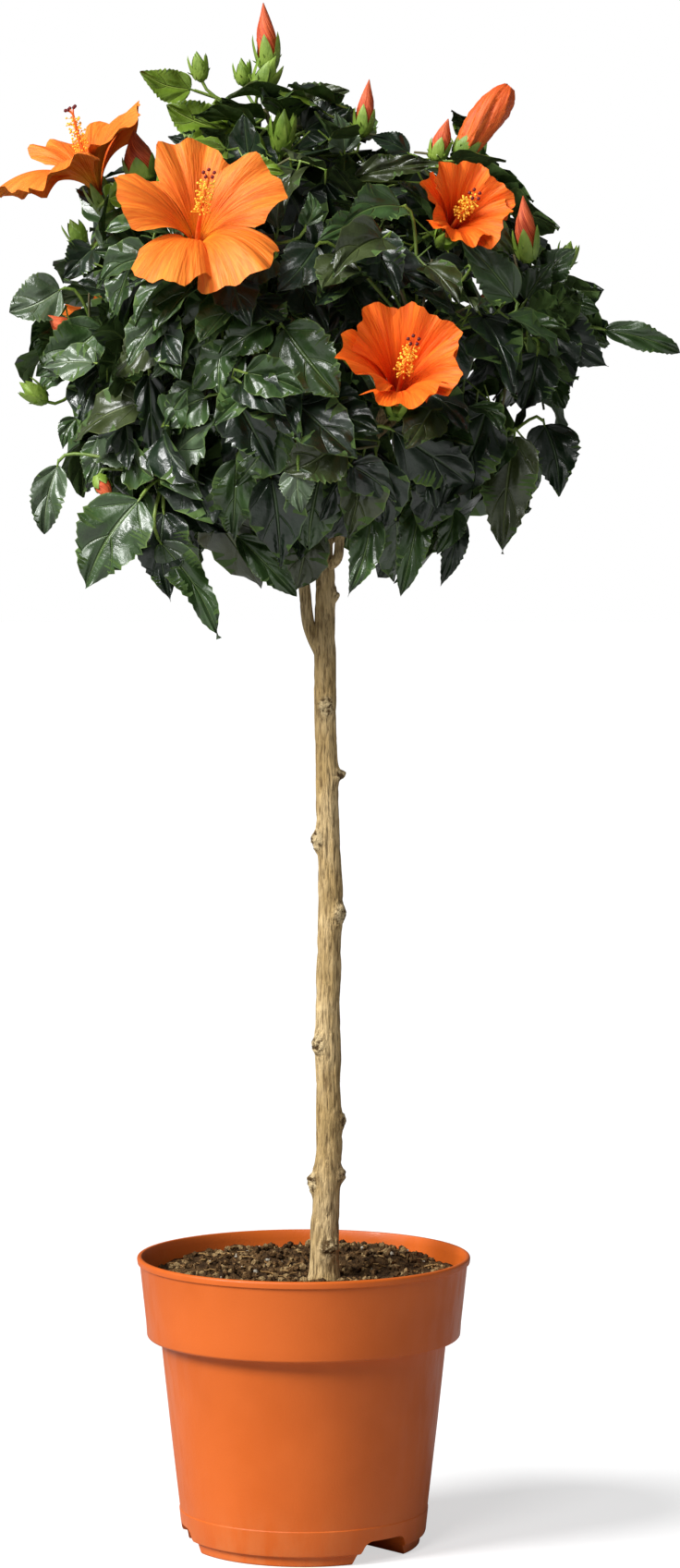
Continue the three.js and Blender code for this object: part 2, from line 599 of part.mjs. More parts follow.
// Five petals as one thin funnel with a lobed edge.
function corollaSolid(bloom, axes) {
  const sides = 15;
  const rings = [0.5, 1];
  const lobes = [1, 0.93, 0.93];
  const skins = [0.5, -0.5].map((lift) => {
    const shift = axes.axis.clone().multiplyScalar(lift);
    const points = [vec(bloom.at).add(shift)];
    for (let k = 0; k < sides; k++) {
      const angle = radians(bloom.turn) + (k * 2 * Math.PI) / sides;
      points.push(pointOnCorolla(bloom, axes, rings[0], angle).add(shift));
    }
    return points;
  });
  const edge = [];
  for (let k = 0; k < sides; k++) {
    const angle = radians(bloom.turn) + (k * 2 * Math.PI) / sides;
    edge.push(pointOnCorolla(bloom, axes, rings[1] * lobes[k % 3], angle));
  }
  const points = [...skins[0], ...skins[1], ...edge];
  const lower = skins[0].length;
  const rim = 2 * lower;
  const triangles = edge.flatMap((_, k) => {
    const next = (k + 1) % sides;
    const [a, b, c, d] = [1 + k, 1 + next, rim + k, rim + next];
    return [
      [0, a, b], [a, c, b], [b, c, d],
      [lower, lower + b, lower + a], [lower + a, lower + b, c], [lower + b, d, c],
    ];
  });
  return fromTriangles(points, triangles);
}

function flowerAxes(bloom) {
  const axis = vec(bloom.faces).normalize();
  const across = new THREE.Vector3().crossVectors(UP, axis).normalize();
  return { axis, across, over: new THREE.Vector3().crossVectors(axis, across) };
}

function alignedTo(geometry, from, to) {
  const heading = to.clone().sub(from).normalize();
  const turn = new THREE.Quaternion().setFromUnitVectors(new THREE.Vector3(0, 1, 0), heading);
  const middle = from.clone().lerp(to, 0.5);
  return solidOf(geometry.applyQuaternion(turn).translate(middle.x, middle.y, middle.z));
}

function bloomSolid(bloom) {
  const axes = flowerAxes(bloom);
  const onAxis = (distance) => vec(bloom.at).addScaledVector(axes.axis, distance);
  const column = bloom.petal * 0.95;
  const anthers = new THREE.CylinderGeometry(3.4, 2.6, column * 0.4, 4);
  return wasm.Manifold.union([
    corollaSolid(bloom, axes),
    alignedTo(new THREE.CylinderGeometry(5.5, 2.2, 19, 4), onAxis(-15), onAxis(4)),
    alignedTo(new THREE.CylinderGeometry(1.2, 1.6, column + 2, 3), onAxis(-2), onAxis(column)),
    alignedTo(anthers, onAxis(column * 0.55), onAxis(column * 0.95)),
  ]);
}

function budSolid(bud) {
  const foot = vec(bud.foot);
  const tip = vec(bud.tip);
  const length = foot.distanceTo(tip);
  const profile = [
    [0, 0],
    [bud.r * 0.9, length * 0.2],
    [bud.r * 0.9, length * 0.55],
    [0, length],
  ].map(([r, y]) => new THREE.Vector2(r, y - length / 2));
  return alignedTo(new THREE.LatheGeometry(profile, 5), foot, tip);
}

// Masses of foliage

function pointsInSpace(points, index, crownShare) {
  return points.every(
    (point) => depthInSpace(point, index) >= SPACE_MARGIN && (!crownShare || inCrown(point, crownShare)),
  );
}

const clearOfLimbs = (solid) => solid.intersect(allLimbsGrown).isEmpty();

function curveTo(start, heading, end) {
  const over = start.clone().addScaledVector(heading, start.distanceTo(end) * 0.35);
  return new THREE.QuadraticBezierCurve3(start, over, end);
}

class Mass {
  constructor(index, shift) {
    this.index = index;
    this.shift = shift;
    this.name = MASSES[index].name;
    this.middle = vec(MASSES[index].at);
    this.shoots = [];
    this.stalks = [];
    this.blades = [];
    this.seats = new Set();
  }

  owns(point) {
    return depthInSpace(vec(point), this.index) > 0;
  }

  room(point) {
    return Math.min(40, ...this.blades.map((blade) => blade.middle.distanceTo(point)));
  }

  touchesBlade(solid) {
    return this.blades.some((blade) => !blade.solid.intersect(solid).isEmpty());
  }

  // One way a leaf could grow from a twig. Low leaves hang and high ones stand out.
  drawLeaf(foot, heading, random) {
    const height = THREE.MathUtils.clamp((foot.z - CROWN.z) / CROWN.rz, -1, 1);
    const outward = foot.clone().sub(CROWN_MIDDLE).normalize();
    const around = new THREE.Vector3().crossVectors(heading, UP).normalize();
    const along = around
      .applyAxisAngle(heading, random() * 2 * Math.PI)
      .addScaledVector(outward, 0.35 + 0.5 * random())
      .addScaledVector(UP, -lerp(0.9, 0, (height + 1) / 2) - 0.4 * random())
      .normalize();
    const length = lerp(LEAF.shortest, LEAF.longest, random());
    const sunward = outward.clone().add(new THREE.Vector3(0, 0, 0.55));
    const frame = frameTo(foot, foot.clone().add(along), sunward, (random() - 0.5) * 0.9);
    const corners = leafCorners(frame, LEAF.stalk, length, length * LEAF.half);
    return { corners, middle: corners[0].clone().lerp(corners[2], 0.6) };
  }

  // The roomiest of a few ways to grow a leaf that crosses no wall, limb, twig or other leaf. If
  // there is none, the twig stays bare there.
  growLeaf(foot, heading, random, others) {
    const ways = [];
    for (let draw = 0; draw < LEAF.draws; draw++) {
      const way = this.drawLeaf(foot, heading, random);
      if (!pointsInSpace(way.corners.slice(1), this.index, LEAF.reach)) continue;
      ways.push({ ...way, room: this.room(way.middle) });
    }
    ways.sort((a, b) => b.room - a.room);
    for (const way of ways.slice(0, LEAF.tests)) {
      const solid = leafSolid(way.corners);
      if (!clearOfLimbs(solid) || !solid.intersect(others).isEmpty()) continue;
      if (this.touchesBlade(solid)) continue;
      this.blades.push({ solid, middle: way.middle, root: foot, loose: true });
      return;
    }
  }

  // The seat along the stem from which a twig reaches its end by the shortest way. No two twigs
  // share a seat.
  seatFor(end) {
    let best = null;
    for (let k = 0; k < SEATS.count; k++) {
      if (this.seats.has(k)) continue;
      const share = lerp(SEATS.from, SEATS.to, k / (SEATS.count - 1)) - SEATS.shift * this.shift;
      const point = this.stem.getPointAt(share);
      const cost = point.distanceTo(end) - share * SEATS.outward;
      if (!best || cost < best.cost) best = { cost, point, k, along: this.stem.getTangentAt(share) };
    }
    this.seats.add(best.k);
    const straight = end.clone().sub(best.point).normalize();
    return { point: best.point, heading: best.along.lerp(straight, 0.6).normalize() };
  }

  addShoot(end) {
    const seat = this.seatFor(end);
    const curve = curveTo(seat.point, seat.heading, end);
    const solid = taperedLimb(curve, SHOOT.r0, SHOOT.r1, 3, 2);
    if (!pointsInSpace(cornersOf(solid), this.index, 0) || !clearOfLimbs(solid)) return;
    if (this.touchesBlade(solid)) return;
    this.shoots.push({ curve, solid, leaves: SHOOT.leaves, leafyTo: 0.96 });
  }

  // Leaves along each shoot, from its tip down, and then along the stalks.
  growLeaves() {
    const twigs = [...this.shoots, ...this.stalks];
    twigs.forEach((twig, number) => {
      const rest = twigs.filter((other) => other !== twig).map((other) => other.solid);
      const others = wasm.Manifold.union([this.stemSolid, ...rest]);
      const count = twig.leaves;
      for (let leaf = count - 1; leaf >= 0; leaf--) {
        const share = lerp(SHOOT.bareBelow, twig.leafyTo, leaf / (count - 1));
        const random = randomRow(this.index * 104729 + number * 1009 + leaf * 31 + 5);
        this.growLeaf(twig.curve.getPointAt(share), twig.curve.getTangentAt(share), random, others);
      }
    });
  }

  // Ends for the shoots: each is the point farthest from all that went before.
  shootEnds() {
    const random = randomRow(this.index * 613 + 3);
    const candidates = [];
    while (candidates.length < 160) {
      const point = new THREE.Vector3(random() - 0.5, random() - 0.5, random() - 0.5);
      point.multiplyScalar(190).add(this.middle);
      const inside = inCrown(point, SHOOT.to) && !inCrown(point, SHOOT.from);
      if (inside && depthInSpace(point, this.index) > SHOOT.wall) candidates.push(point);
    }
    const ends = [];
    while (ends.length < SHOOT.count) {
      const taken = [this.stem.getPoint(0), ...ends];
      const space = (point) => Math.min(...taken.map((other) => other.distanceTo(point)));
      ends.push(candidates.reduce((a, b) => (space(b) > space(a) ? b : a)));
    }
    return ends;
  }

  // A bare stalk from the stem to a flower, a bud or a reaching leaf.
  addStalk(end, towards) {
    const seat = this.seatFor(end);
    const reach = seat.point.distanceTo(end);
    const before = end.clone().addScaledVector(towards, -reach * 0.4);
    const inside = end.clone().addScaledVector(towards, 2.6);
    const curve = new THREE.QuadraticBezierCurve3(seat.point, before, inside);
    const solid = taperedLimb(curve, SHOOT.r0, SHOOT.r0, 3, 3);
    this.stalks.push({ curve, solid, leaves: reach > STALK.leafyOver ? STALK.leaves : 0, leafyTo: 0.7 });
  }

  addNamed(solid, end, towards, middle) {
    this.addStalk(end, towards);
    this.blades.push({ solid, middle, root: end, loose: false });
  }

  addFlowersAndBuds() {
    for (const bloom of BLOOMS.filter((b) => this.owns(b.at))) {
      const axis = vec(bloom.faces).normalize();
      const foot = vec(bloom.at).addScaledVector(axis, -15);
      this.addNamed(bloomSolid(bloom), foot, axis, vec(bloom.at).addScaledVector(axis, 20));
    }
    for (const bud of BUDS.filter((b) => this.owns(b.foot))) {
      const [foot, tip] = [vec(bud.foot), vec(bud.tip)];
      this.addNamed(budSolid(bud), foot, tip.clone().sub(foot).normalize(), foot.clone().lerp(tip, 0.5));
    }
  }

  addReachingLeaves() {
    for (const leaf of REACHING_LEAVES.filter((l) => this.owns(l.foot))) {
      const [foot, tip] = [vec(leaf.foot), vec(leaf.tip)];
      const frame = frameTo(foot, tip, new THREE.Vector3(0, -1, 0.3), 0);
      const corners = leafCorners(frame, 3, foot.distanceTo(tip) - 3, leaf.half);
      corners[0].addScaledVector(frame.along, -1.5);
      this.addNamed(leafSolid(corners), foot, frame.along, foot.clone().lerp(tip, 0.6));
    }
  }

  growWood() {
    const seat = boughTips.get(this.name);
    const start = seat.point.clone().addScaledVector(seat.heading, GAP);
    this.stem = curveTo(start, seat.heading, this.middle);
    this.stemSolid = taperedLimb(this.stem, STEM.r0, STEM.r1, STEM.sides, 3);
    this.addFlowersAndBuds();
    this.addReachingLeaves();
    this.shootEnds().forEach((end) => this.addShoot(end));
    return this;
  }

  fused() {
    const growth = [...this.shoots, ...this.stalks, ...this.blades].map((piece) => piece.solid);
    return smoothed(wasm.Manifold.union([this.stemSolid, ...growth]));
  }

  // All of it fused. A leaf whose root doesn't fuse cleanly is dropped.
  solid() {
    for (;;) {
      const { tidy, fault } = this.fused();
      const loose = this.blades.filter((blade) => blade.loose);
      if (!fault || !loose.length) return tidy;
      const worst = loose.reduce((a, b) => (b.root.distanceTo(fault) < a.root.distanceTo(fault) ? b : a));
      this.blades.splice(this.blades.indexOf(worst), 1);
    }
  }
}

// Assembly

const plant = new THREE.Group();

function addNode(name, solid, look) {
  const material = new THREE.MeshStandardMaterial({ ...LOOKS[look], metalness: 0 });
  const mesh = new THREE.Mesh(geometryOf(solid), material);
  mesh.name = name;
  plant.add(mesh);
}

addNode("pot", potSolid(), "pot");
addNode("soil", soilSolid(), "soil");
for (const [name, solid] of limbs) addNode(name, solid, "bark");
for (let index = 0; index < MASSES.length; index++) {
  let mass = new Mass(index, 0).growWood();
  for (let shift = 1; shift < SEATS.shifts && mass.fused().fault; shift++) {
    mass = new Mass(index, shift).growWood();
  }
  mass.growLeaves();
  addNode("foliage_" + mass.name, mass.solid(), "foliage");
}

export default plant;
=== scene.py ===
"""Dresses the potted standard hibiscus: nursery pot, potting soil, bark, leaves, flowers and buds."""

import logging
import math
from dataclasses import dataclass, field
from enum import Enum
from typing import Callable, Sequence

import bmesh
import bpy
import numpy as np
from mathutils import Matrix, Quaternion, Vector
from mathutils.bvhtree import BVHTree


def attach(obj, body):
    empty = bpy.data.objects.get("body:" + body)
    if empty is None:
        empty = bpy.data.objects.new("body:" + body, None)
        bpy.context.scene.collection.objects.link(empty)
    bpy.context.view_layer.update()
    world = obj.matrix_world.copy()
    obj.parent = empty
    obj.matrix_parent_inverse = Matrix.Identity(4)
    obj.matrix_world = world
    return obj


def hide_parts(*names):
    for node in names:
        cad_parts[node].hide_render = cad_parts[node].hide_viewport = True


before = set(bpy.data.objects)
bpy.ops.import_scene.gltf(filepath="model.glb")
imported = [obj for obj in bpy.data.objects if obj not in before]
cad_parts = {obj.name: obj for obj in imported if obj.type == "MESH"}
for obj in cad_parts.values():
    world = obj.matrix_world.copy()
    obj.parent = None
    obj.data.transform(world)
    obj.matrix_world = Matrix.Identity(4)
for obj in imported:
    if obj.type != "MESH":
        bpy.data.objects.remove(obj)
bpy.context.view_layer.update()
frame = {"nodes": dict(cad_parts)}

logging.basicConfig(level=logging.INFO, format="%(message)s")
LOG = logging.getLogger("hibiscus")

# All sizes are in millimetres. MM turns them into the frame's metres.
MM = 0.001
UP = Vector((0.0, 0.0, 1.0))
FULL_TURN = 2 * math.pi

Array = np.ndarray
Dice = np.random.Generator
Chance = Callable[[], float]
Pair = tuple[float, float]
Place = tuple[float, float, float]
Colour = tuple[float, float, float, float]
Shape = tuple[Array, list[Array]]
Outline = list[Pair]
Pose = tuple[Vector, Vector, Vector]
Socket = bpy.types.NodeSocket
Piece = bpy.types.Object
Finish = bpy.types.Material

# Trunk: height, x, y and radius at each station
TRUNK = np.array([
    (150.0, 11.4, 0.0, 9.6), (156.0, 11.6, 0.0, 8.4), (183.0, 12.1, 0.3, 8.0), (225.0, 14.6, 0.8, 7.2),
    (300.0, 13.6, 1.0, 7.0), (370.0, 15.3, 0.6, 6.9), (410.0, 14.0, 0.2, 6.5), (460.0, 12.6, -0.2, 6.3),
    (495.0, 12.2, 0.0, 6.2), (530.0, 12.2, 0.0, 5.6), (588.0, 11.8, 0.0, 4.7),
])
TRUNK_FOOT, TRUNK_TOP = float(TRUNK[0, 0]), float(TRUNK[-1, 0])
# Old branch scars: height, bearing in degrees from +X, how far they stand out, half their height
KNOTS = (
    (170, -70, 1.6, 6), (207, 180, 2.4, 6), (211, 0, 1.6, 5), (242, 5, 2.0, 4), (286, 215, 2.0, 6),
    (360, -35, 1.8, 6), (402, 195, 2.6, 6), (439, 0, 2.6, 3.5), (478, -85, 1.6, 6), (541, 0, 1.2, 4),
)
SOIL_LEVEL = 151.0
SOIL_FOOT_X = 11.4

CROWN_MIDDLE = Vector((7.0, 0.0, 683.0))
CROWN_RADII = Vector((160.0, 156.0, 143.0))
GAP = 0.3
SPACE_MARGIN = 0.6
LIMB_CLEAR = 0.5

# Main boughs: seat on the trunk, bearing, radius at both ends, climb beside the trunk, tip
MAIN_BOUGHS = {
    "left": (506, 180, 3.8, 2.6, 56, (-58, -12, 640)),
    "front": (566, -115, 2.8, 2.0, 20, (-26, -44, 672)),
    "right": (556, -35, 3.0, 2.1, 18, (46, -46, 648)),
    "back_right": (570, 40, 2.9, 2.0, 20, (52, 42, 650)),
    "back": (560, 118, 2.9, 2.0, 20, (-10, 56, 648)),
    "leader": (588, 90, 3.6, 2.2, 60, (2, 2, 738)),
}
# Masses: middle of the space, bough that bears it, share of the bough where it forks off
MASSES = {
    "left": ((-116, -22, 674), "left", 1.0), "front_left_low": ((-76, -76, 606), "left", 0.72),
    "back_left_low": ((-66, 62, 600), "left", 0.55), "front_left_high": ((-58, -98, 736), "front", 1.0),
    "front_low": ((2, -108, 618), "front", 0.6), "front_right": ((62, -110, 682), "right", 1.0),
    "front_right_low": ((96, -60, 608), "right", 0.55), "right": ((134, 4, 692), "right", 0.78),
    "back_right": ((96, 92, 680), "back_right", 1.0), "back_right_low": ((62, 72, 600), "back_right", 0.5),
    "right_high": ((102, -40, 770), "back_right", 0.78), "back": ((2, 122, 676), "back", 1.0),
    "back_left": ((-92, 84, 684), "back", 0.7), "top": ((-22, 0, 814), "leader", 1.0),
    "left_high": ((-110, -10, 758), "leader", 0.6), "back_left_high": ((-52, 90, 768), "leader", 0.7),
    "back_right_high": ((58, 84, 768), "leader", 0.82),
}
SIDE_BOUGH_RADII = (2.3, 1.7)
BOUGH_TIP_INSIDE = 6.0


class Tone(Enum):
    """The greens of the leaves. The pale one is a grey-green base painted in for the sheen of the light on glossy
    leaves.
    """

    DARK = 0
    MID = 1
    OLIVE = 2
    YOUNG = 3
    PALE = 4


DARK, MID, OLIVE, YOUNG, PALE = Tone
UNDERSIDE = len(Tone)


@dataclass(frozen=True)
class Bloom:
    """One open flower: throat, the way it faces, petal length, openness, first petal's angle, deep or pale."""

    throat: Place
    faces: Place
    petal: float
    opened: float
    turn: float
    deep: bool


class BudKind(Enum):
    """What a bud shows: where its petals start, and how long and wide its calyx is, all as shares."""

    COLOURED = (0.12, 0.5, 0.98)
    GREEN = (0.05, 0.85, 0.98)
    WITHERED = (0.05, 0.3, 0.7)


COLOURED, GREEN, WITHERED = BudKind


@dataclass(frozen=True)
class Bud:
    """One bud or withered flower, from foot to tip."""

    foot: Place
    tip: Place
    radius: float
    kind: BudKind


BLOOMS = tuple(Bloom(*row) for row in (
    ((-56, -122, 729), (0.06, -0.76, 0.65), 60, 0.97, 24, False),
    ((-113, -40, 764), (-0.4, -0.2, 0.88), 57, 0.95, 30, False),
    ((51, -121, 646), (0.08, -0.82, 0.57), 59, 0.47, 54, True),
    ((80, -74, 739), (0.24, -0.84, 0.4), 46, 0.42, 34, True),
    ((0, 134, 682), (-0.05, 0.85, 0.5), 46, 0.9, 50, False),
    ((106, 102, 688), (0.62, 0.55, 0.55), 42, 0.6, 8, True),
    ((-98, 96, 690), (-0.6, 0.66, 0.45), 48, 0.7, 60, False),
))
BUDS = tuple(Bud(row[:3], row[3:6], *row[6:]) for row in (
    (-19, 0, 834, -22.4, 0, 873, 6.2, COLOURED), (-57, 0, 829, -60, 0, 846, 4.6, GREEN),
    (-33, 6, 827, -35, 6, 843, 4.4, GREEN), (-12, -34, 786, -10, -40, 810, 6.0, GREEN),
    (33, -22, 796, 37, -22, 828, 5.2, COLOURED), (74, -24, 782, 81, -24, 806, 5.6, COLOURED),
    (86, -22, 784, 115, -22, 824, 9.0, WITHERED), (-88, -46, 768, -93, -50, 797, 9.0, COLOURED),
    (124, -62, 724, 121, -66, 760, 6.4, COLOURED), (146, -14, 723, 150, -14, 739, 5.0, GREEN),
    (-26, -10, 820, -15, -12, 842, 6.4, GREEN), (-126, -40, 684, -141, -44, 696, 6.0, COLOURED),
    (-142, -40, 648, -157, -44, 659, 5.0, GREEN), (-113, -62, 607, -105, -70, 593, 4.6, COLOURED),
    (-121, -52, 734, -128, -56, 748, 5.0, GREEN), (40, 118, 752, 43, 128, 782, 6.0, COLOURED),
    (-62, 104, 786, -68, 112, 816, 5.6, COLOURED), (70, 128, 650, 78, 140, 666, 5.0, GREEN),
))

# Leaves placed one by one: foot and tip of the blade, half its width, tone, and roll in degrees where it has one.
# The first ones make the crown's outline.
REACHING_LEAVES = (
    (166, -20, 690, 212, -12, 677, 8, MID), (138, -34, 698, 170, -36, 668, 15, DARK),
    (134, -24, 712, 152, -26, 734, 10, MID), (-132, -34, 712, -163, -36, 698, 15, PALE),
    (-108, -54, 690, -147, -56, 662, 16, MID), (-60, -8, 823, -91, -16, 833, 10, YOUNG),
    (-44, -18, 800, -76, -22, 814, 12, YOUNG), (-12, 4, 808, 26, 0, 824, 12, OLIVE),
    (-79, -84, 573, -45, -86, 518, 10, MID), (-87, -94, 596, -118, -92, 546, 20, MID),
    (-76, -80, 590, -72, -82, 538, 15, DARK), (-135, -50, 616, -143, -52, 575, 10, PALE),
    (39, -92, 588, 25, -92, 541, 10, MID), (66, -74, 596, 54, -78, 541, 10, MID),
    (84, -60, 590, 76, -62, 546, 8, DARK), (117, -66, 632, 110, -70, 564, 16, OLIVE),
    (134, -30, 639, 143, -34, 596, 15, DARK), (118, -84, 700, 86, -98, 735, 12, MID),
    (-38, -60, 576, -3, -60, 541, 9, MID), (0, -86, 608, -12, -88, 556, 17, DARK),
)
FRONT_LEAVES = (
    (62, -30, 785, 38, -34, 795, 7, DARK), (-124, -44, 642, -133, -46, 622, 6, MID),
    (-8, -100, 724, 14, -112, 684, 15, DARK), (24, -98, 716, 42, -112, 680, 13, DARK, 10),
    (-30, -98, 706, -12, -116, 668, 13, DARK), (122, -40, 702, 139, -42, 726, 10, MID),
    (131, -30, 684, 161, -30, 698, 9, MID), (-88, -66, 714, -103, -72, 686, 13, MID),
    (60, -60, 732, 44, -84, 706, 14, DARK), (-70, -111, 690, -101, -97, 660, 13, OLIVE, 20),
    (-64, -115, 683, -81, -115, 658, 9, MID, -10), (-42, -125, 678, -44, -131, 650, 11, MID, 25),
    (-49, -117, 650, -75, -107, 631, 14, MID), (-83, -99, 665, -81, -92, 617, 9, DARK, -30),
    (-114, -45, 632, -84, -83, 610, 14, PALE, 10), (-111, -45, 630, -119, -50, 603, 11, MID, 15),
    (-76, -80, 606, -46, -122, 635, 15, PALE, -15), (-79, -60, 601, -40, -74, 576, 14, DARK),
    (-37, -122, 651, -15, -118, 609, 17, DARK, 5), (-35, -106, 618, -38, -84, 573, 13, MID),
    (-2, -122, 613, 0, -116, 586, 10, PALE, 20), (24, -119, 628, -9, -120, 608, 18, OLIVE, -10),
    (-11, -133, 687, 20, -140, 648, 17, MID, 15), (-15, -132, 688, -44, -136, 669, 13, MID, 10),
    (-109, -60, 757, -90, -66, 771, 8, YOUNG), (-60, -60, 768, -64, -66, 792, 12, DARK),
    (-37, -90, 773, -9, -96, 770, 9, YOUNG, 10), (-40, -20, 791, -75, -26, 796, 9, DARK),
    (2, -120, 737, 4, -122, 758, 6, MID), (-13, -125, 724, -30, -139, 703, 10, OLIVE, 10),
    (10, -124, 731, -13, -142, 703, 14, DARK, 10), (-32, -123, 717, -50, -133, 706, 7, YOUNG),
    (-86, -90, 733, -113, -96, 728, 11, MID), (-113, -60, 734, -131, -66, 715, 11, DARK),
    (-72, -99, 724, -95, -103, 711, 10, OLIVE), (56, -103, 752, 23, -129, 740, 14, MID, 10),
    (34, -119, 735, 52, -136, 702, 15, DARK), (36, -116, 741, 9, -135, 731, 10, MID),
    (26, -50, 771, 78, -56, 779, 8, OLIVE), (92, -80, 722, 62, -86, 703, 14, DARK),
    (136, -25, 700, 165, -31, 699, 9, MID), (130, -60, 677, 121, -66, 643, 15, DARK),
    (139, -36, 688, 150, -42, 656, 14, DARK), (139, -24, 668, 146, -30, 645, 8, MID),
    (47, -116, 632, 94, -88, 601, 17, DARK), (102, -84, 646, 76, -90, 590, 17, DARK),
    (29, -98, 603, 41, -84, 576, 12, DARK), (59, -100, 616, 73, -106, 589, 10, DARK),
    (84, -64, 592, 74, -70, 564, 8, MID), (-2, -10, 799, 26, -16, 813, 12, DARK),
    (32, -2, 794, 8, -8, 817, 12, DARK), (24, -30, 784, 18, -36, 809, 9, PALE),
    (104, -76, 694, 78, -82, 677, 12, DARK),
)
# With the seed of the first one's bends
NAMED_LEAVES = ((REACHING_LEAVES, 90000), (FRONT_LEAVES, 91000))
# Gaps where the sky shows through, seen from the front: x, height, radius
SKY_GAPS = (
    (13, 545, 9), (50, 778, 4), (104, 710, 9), (101, 662, 7), (126, 634, 10), (-122, 696, 5), (-81, 797, 9),
    (-137, 642, 9), (66, 797, 9), (98, 572, 12), (84, 556, 8), (146, 640, 8), (166, 660, 9), (-40, 558, 9),
    (-132, 736, 8), (126, 774, 7), (144, 756, 7), (55, 811, 6), (160, 722, 5), (52, 566, 6), (27, 555, 5),
)
SKY_MARGIN = 6.0
YOUNG_ABOVE = 775.0


# Small helpers


def lerp(start: float, end: float, share: float) -> float:
    """The value that lies at a share of the way from start to end."""
    return start + (end - start) * share


def smoothstep(value: Array | float, low: float, high: float) -> Array:
    """Rises smoothly from 0 at low to 1 at high."""
    share = np.clip((np.asarray(value, float) - low) / (high - low), 0.0, 1.0)
    return share * share * (3 - 2 * share)


def unit(way: Array) -> Array:
    """A direction of length 1."""
    return way / np.linalg.norm(way)


def chance_row(seed: int) -> Chance:
    """A seeded row of random numbers from 0 to 1, the same one that the solids grow by.

    Args:
        seed: Any whole number.

    Returns:
        A function that gives the next number at each call.
    """
    mask = 0xFFFFFFFF
    state = seed & mask

    def draw() -> float:
        """Gives the next number of the row.

        Returns:
            The number, from 0 to 1.
        """
        nonlocal state
        state = (state + 0x6D2B79F5) & mask
        mixed = ((state ^ (state >> 15)) * (1 | state)) & mask
        mixed = ((mixed + (((mixed ^ (mixed >> 7)) * (61 | mixed)) & mask)) & mask) ^ mixed
        return (mixed ^ (mixed >> 14)) / (mask + 1)

    return draw


def lattice_noise(across: Array, along: Array, seed: int, wrap: int) -> Array:
    """Smooth noise that closes on itself across.

    Args:
        across: Coordinates that run from 0 to wrap round the shape.
        along: Coordinates along the shape, of the same size.
        seed: Seed of the noise.
        wrap: Whole number of lattice cells round the shape.

    Returns:
        One value from -1 to 1 for each pair of coordinates.
    """
    grid = np.random.default_rng(seed).random((wrap, int(np.max(along)) + 3)) * 2 - 1
    left, low = np.floor(across).astype(int), np.floor(along).astype(int)
    y = smoothstep(along - low, 0.0, 1.0)
    near, far = (grid[c % wrap, low] * (1 - y) + grid[c % wrap, low + 1] * y for c in (left, left + 1))
    return lerp(near, far, smoothstep(across - left, 0.0, 1.0))


class Route:
    """A smooth curve, kept as close points and read by share of its length."""

    def __init__(self, points: Array) -> None:
        """Keeps the points and the length up to each of them."""
        self.dense = points
        self.lengths = np.append(0.0, np.cumsum(np.linalg.norm(np.diff(points, axis=0), axis=1)))

    def points(self, shares: Sequence[float] | Array) -> Array:
        """The points at these shares of the length."""
        wanted = np.asarray(shares, float) * self.lengths[-1]
        return np.stack([np.interp(wanted, self.lengths, self.dense[:, axis]) for axis in range(3)], axis=1)

    def at(self, share: float) -> Vector:
        """The point at a share of the length."""
        return Vector(self.points([share])[0])

    def heading(self, share: float) -> Vector:
        """The direction of the curve at a share of the length."""
        ends = self.points([max(0.0, share - 0.01), min(1.0, share + 0.01)])
        return Vector(ends[1] - ends[0]).normalized()

    @classmethod
    def through(cls, knots: Sequence[Vector]) -> "Route":
        """A centripetal curve.

        Args:
            knots: The points that it passes through.

        Returns:
            The curve.
        """
        marks = [np.array(knot, float) for knot in knots]
        marks = [2 * marks[0] - marks[1], *marks, 2 * marks[-1] - marks[-2]]
        t = np.linspace(0, 1, 60)[:, None]
        pieces = []
        for before, start, end, after in zip(marks, marks[1:], marks[2:], marks[3:]):
            pairs = ((before, start), (start, end), (end, after))
            ahead, span, behind = (math.sqrt(np.linalg.norm(b - a)) for a, b in pairs)
            leave = (start - before) / ahead - (end - before) / (ahead + span) + (end - start) / span
            reach = (end - start) / span - (after - start) / (span + behind) + (after - end) / behind
            leave, reach = leave * span, reach * span
            square = (-3 * start + 3 * end - 2 * leave - reach) * t**2
            cube = (2 * start - 2 * end + leave + reach) * t**3
            pieces.append(start + leave * t + square + cube)
        return cls(np.concatenate([pieces[0]] + [piece[1:] for piece in pieces[1:]]))

    @classmethod
    def bent(cls, start: Vector, over: Vector, end: Vector) -> "Route":
        """A simple bend from start to end that leans towards over."""
        t, marks = np.linspace(0, 1, 40)[:, None], np.array([start, over, end], float)
        return cls(marks[0] * (1 - t) ** 2 + marks[1] * 2 * t * (1 - t) + marks[2] * t**2)


def tube(path: Array, radii: Array | float, sides: int) -> Shape:
    """A closed round limb along a path.

    Args:
        path: Points of its middle line.
        radii: One radius, one for each point, or one for each point and side.
        sides: Number of sides.

    Returns:
        Its points and faces.
    """
    headings = np.gradient(path, axis=0)
    headings /= np.linalg.norm(headings, axis=1)[:, None]
    first = np.cross(headings[0], (0.0, 0.0, 1.0))
    if np.linalg.norm(first) < 0.05:
        first = np.cross(headings[0], (1.0, 0.0, 0.0))
    normals = [unit(first)]
    for heading in headings[1:]:
        normals.append(unit(normals[-1] - heading * np.dot(normals[-1], heading)))
    normal = np.array(normals)
    beside = np.cross(headings, normal)
    angles = np.arange(sides) * FULL_TURN / sides
    spread = np.asarray(radii, float)
    spread = np.broadcast_to(spread[:, None] if spread.ndim == 1 else spread, (len(path), sides))
    rings = path[:, None] + spread[..., None] * (
        np.cos(angles)[None, :, None] * normal[:, None] + np.sin(angles)[None, :, None] * beside[:, None]
    )
    return np.concatenate([rings.reshape(-1, 3), path[:1], path[-1:]]), ring_faces(len(path), sides)


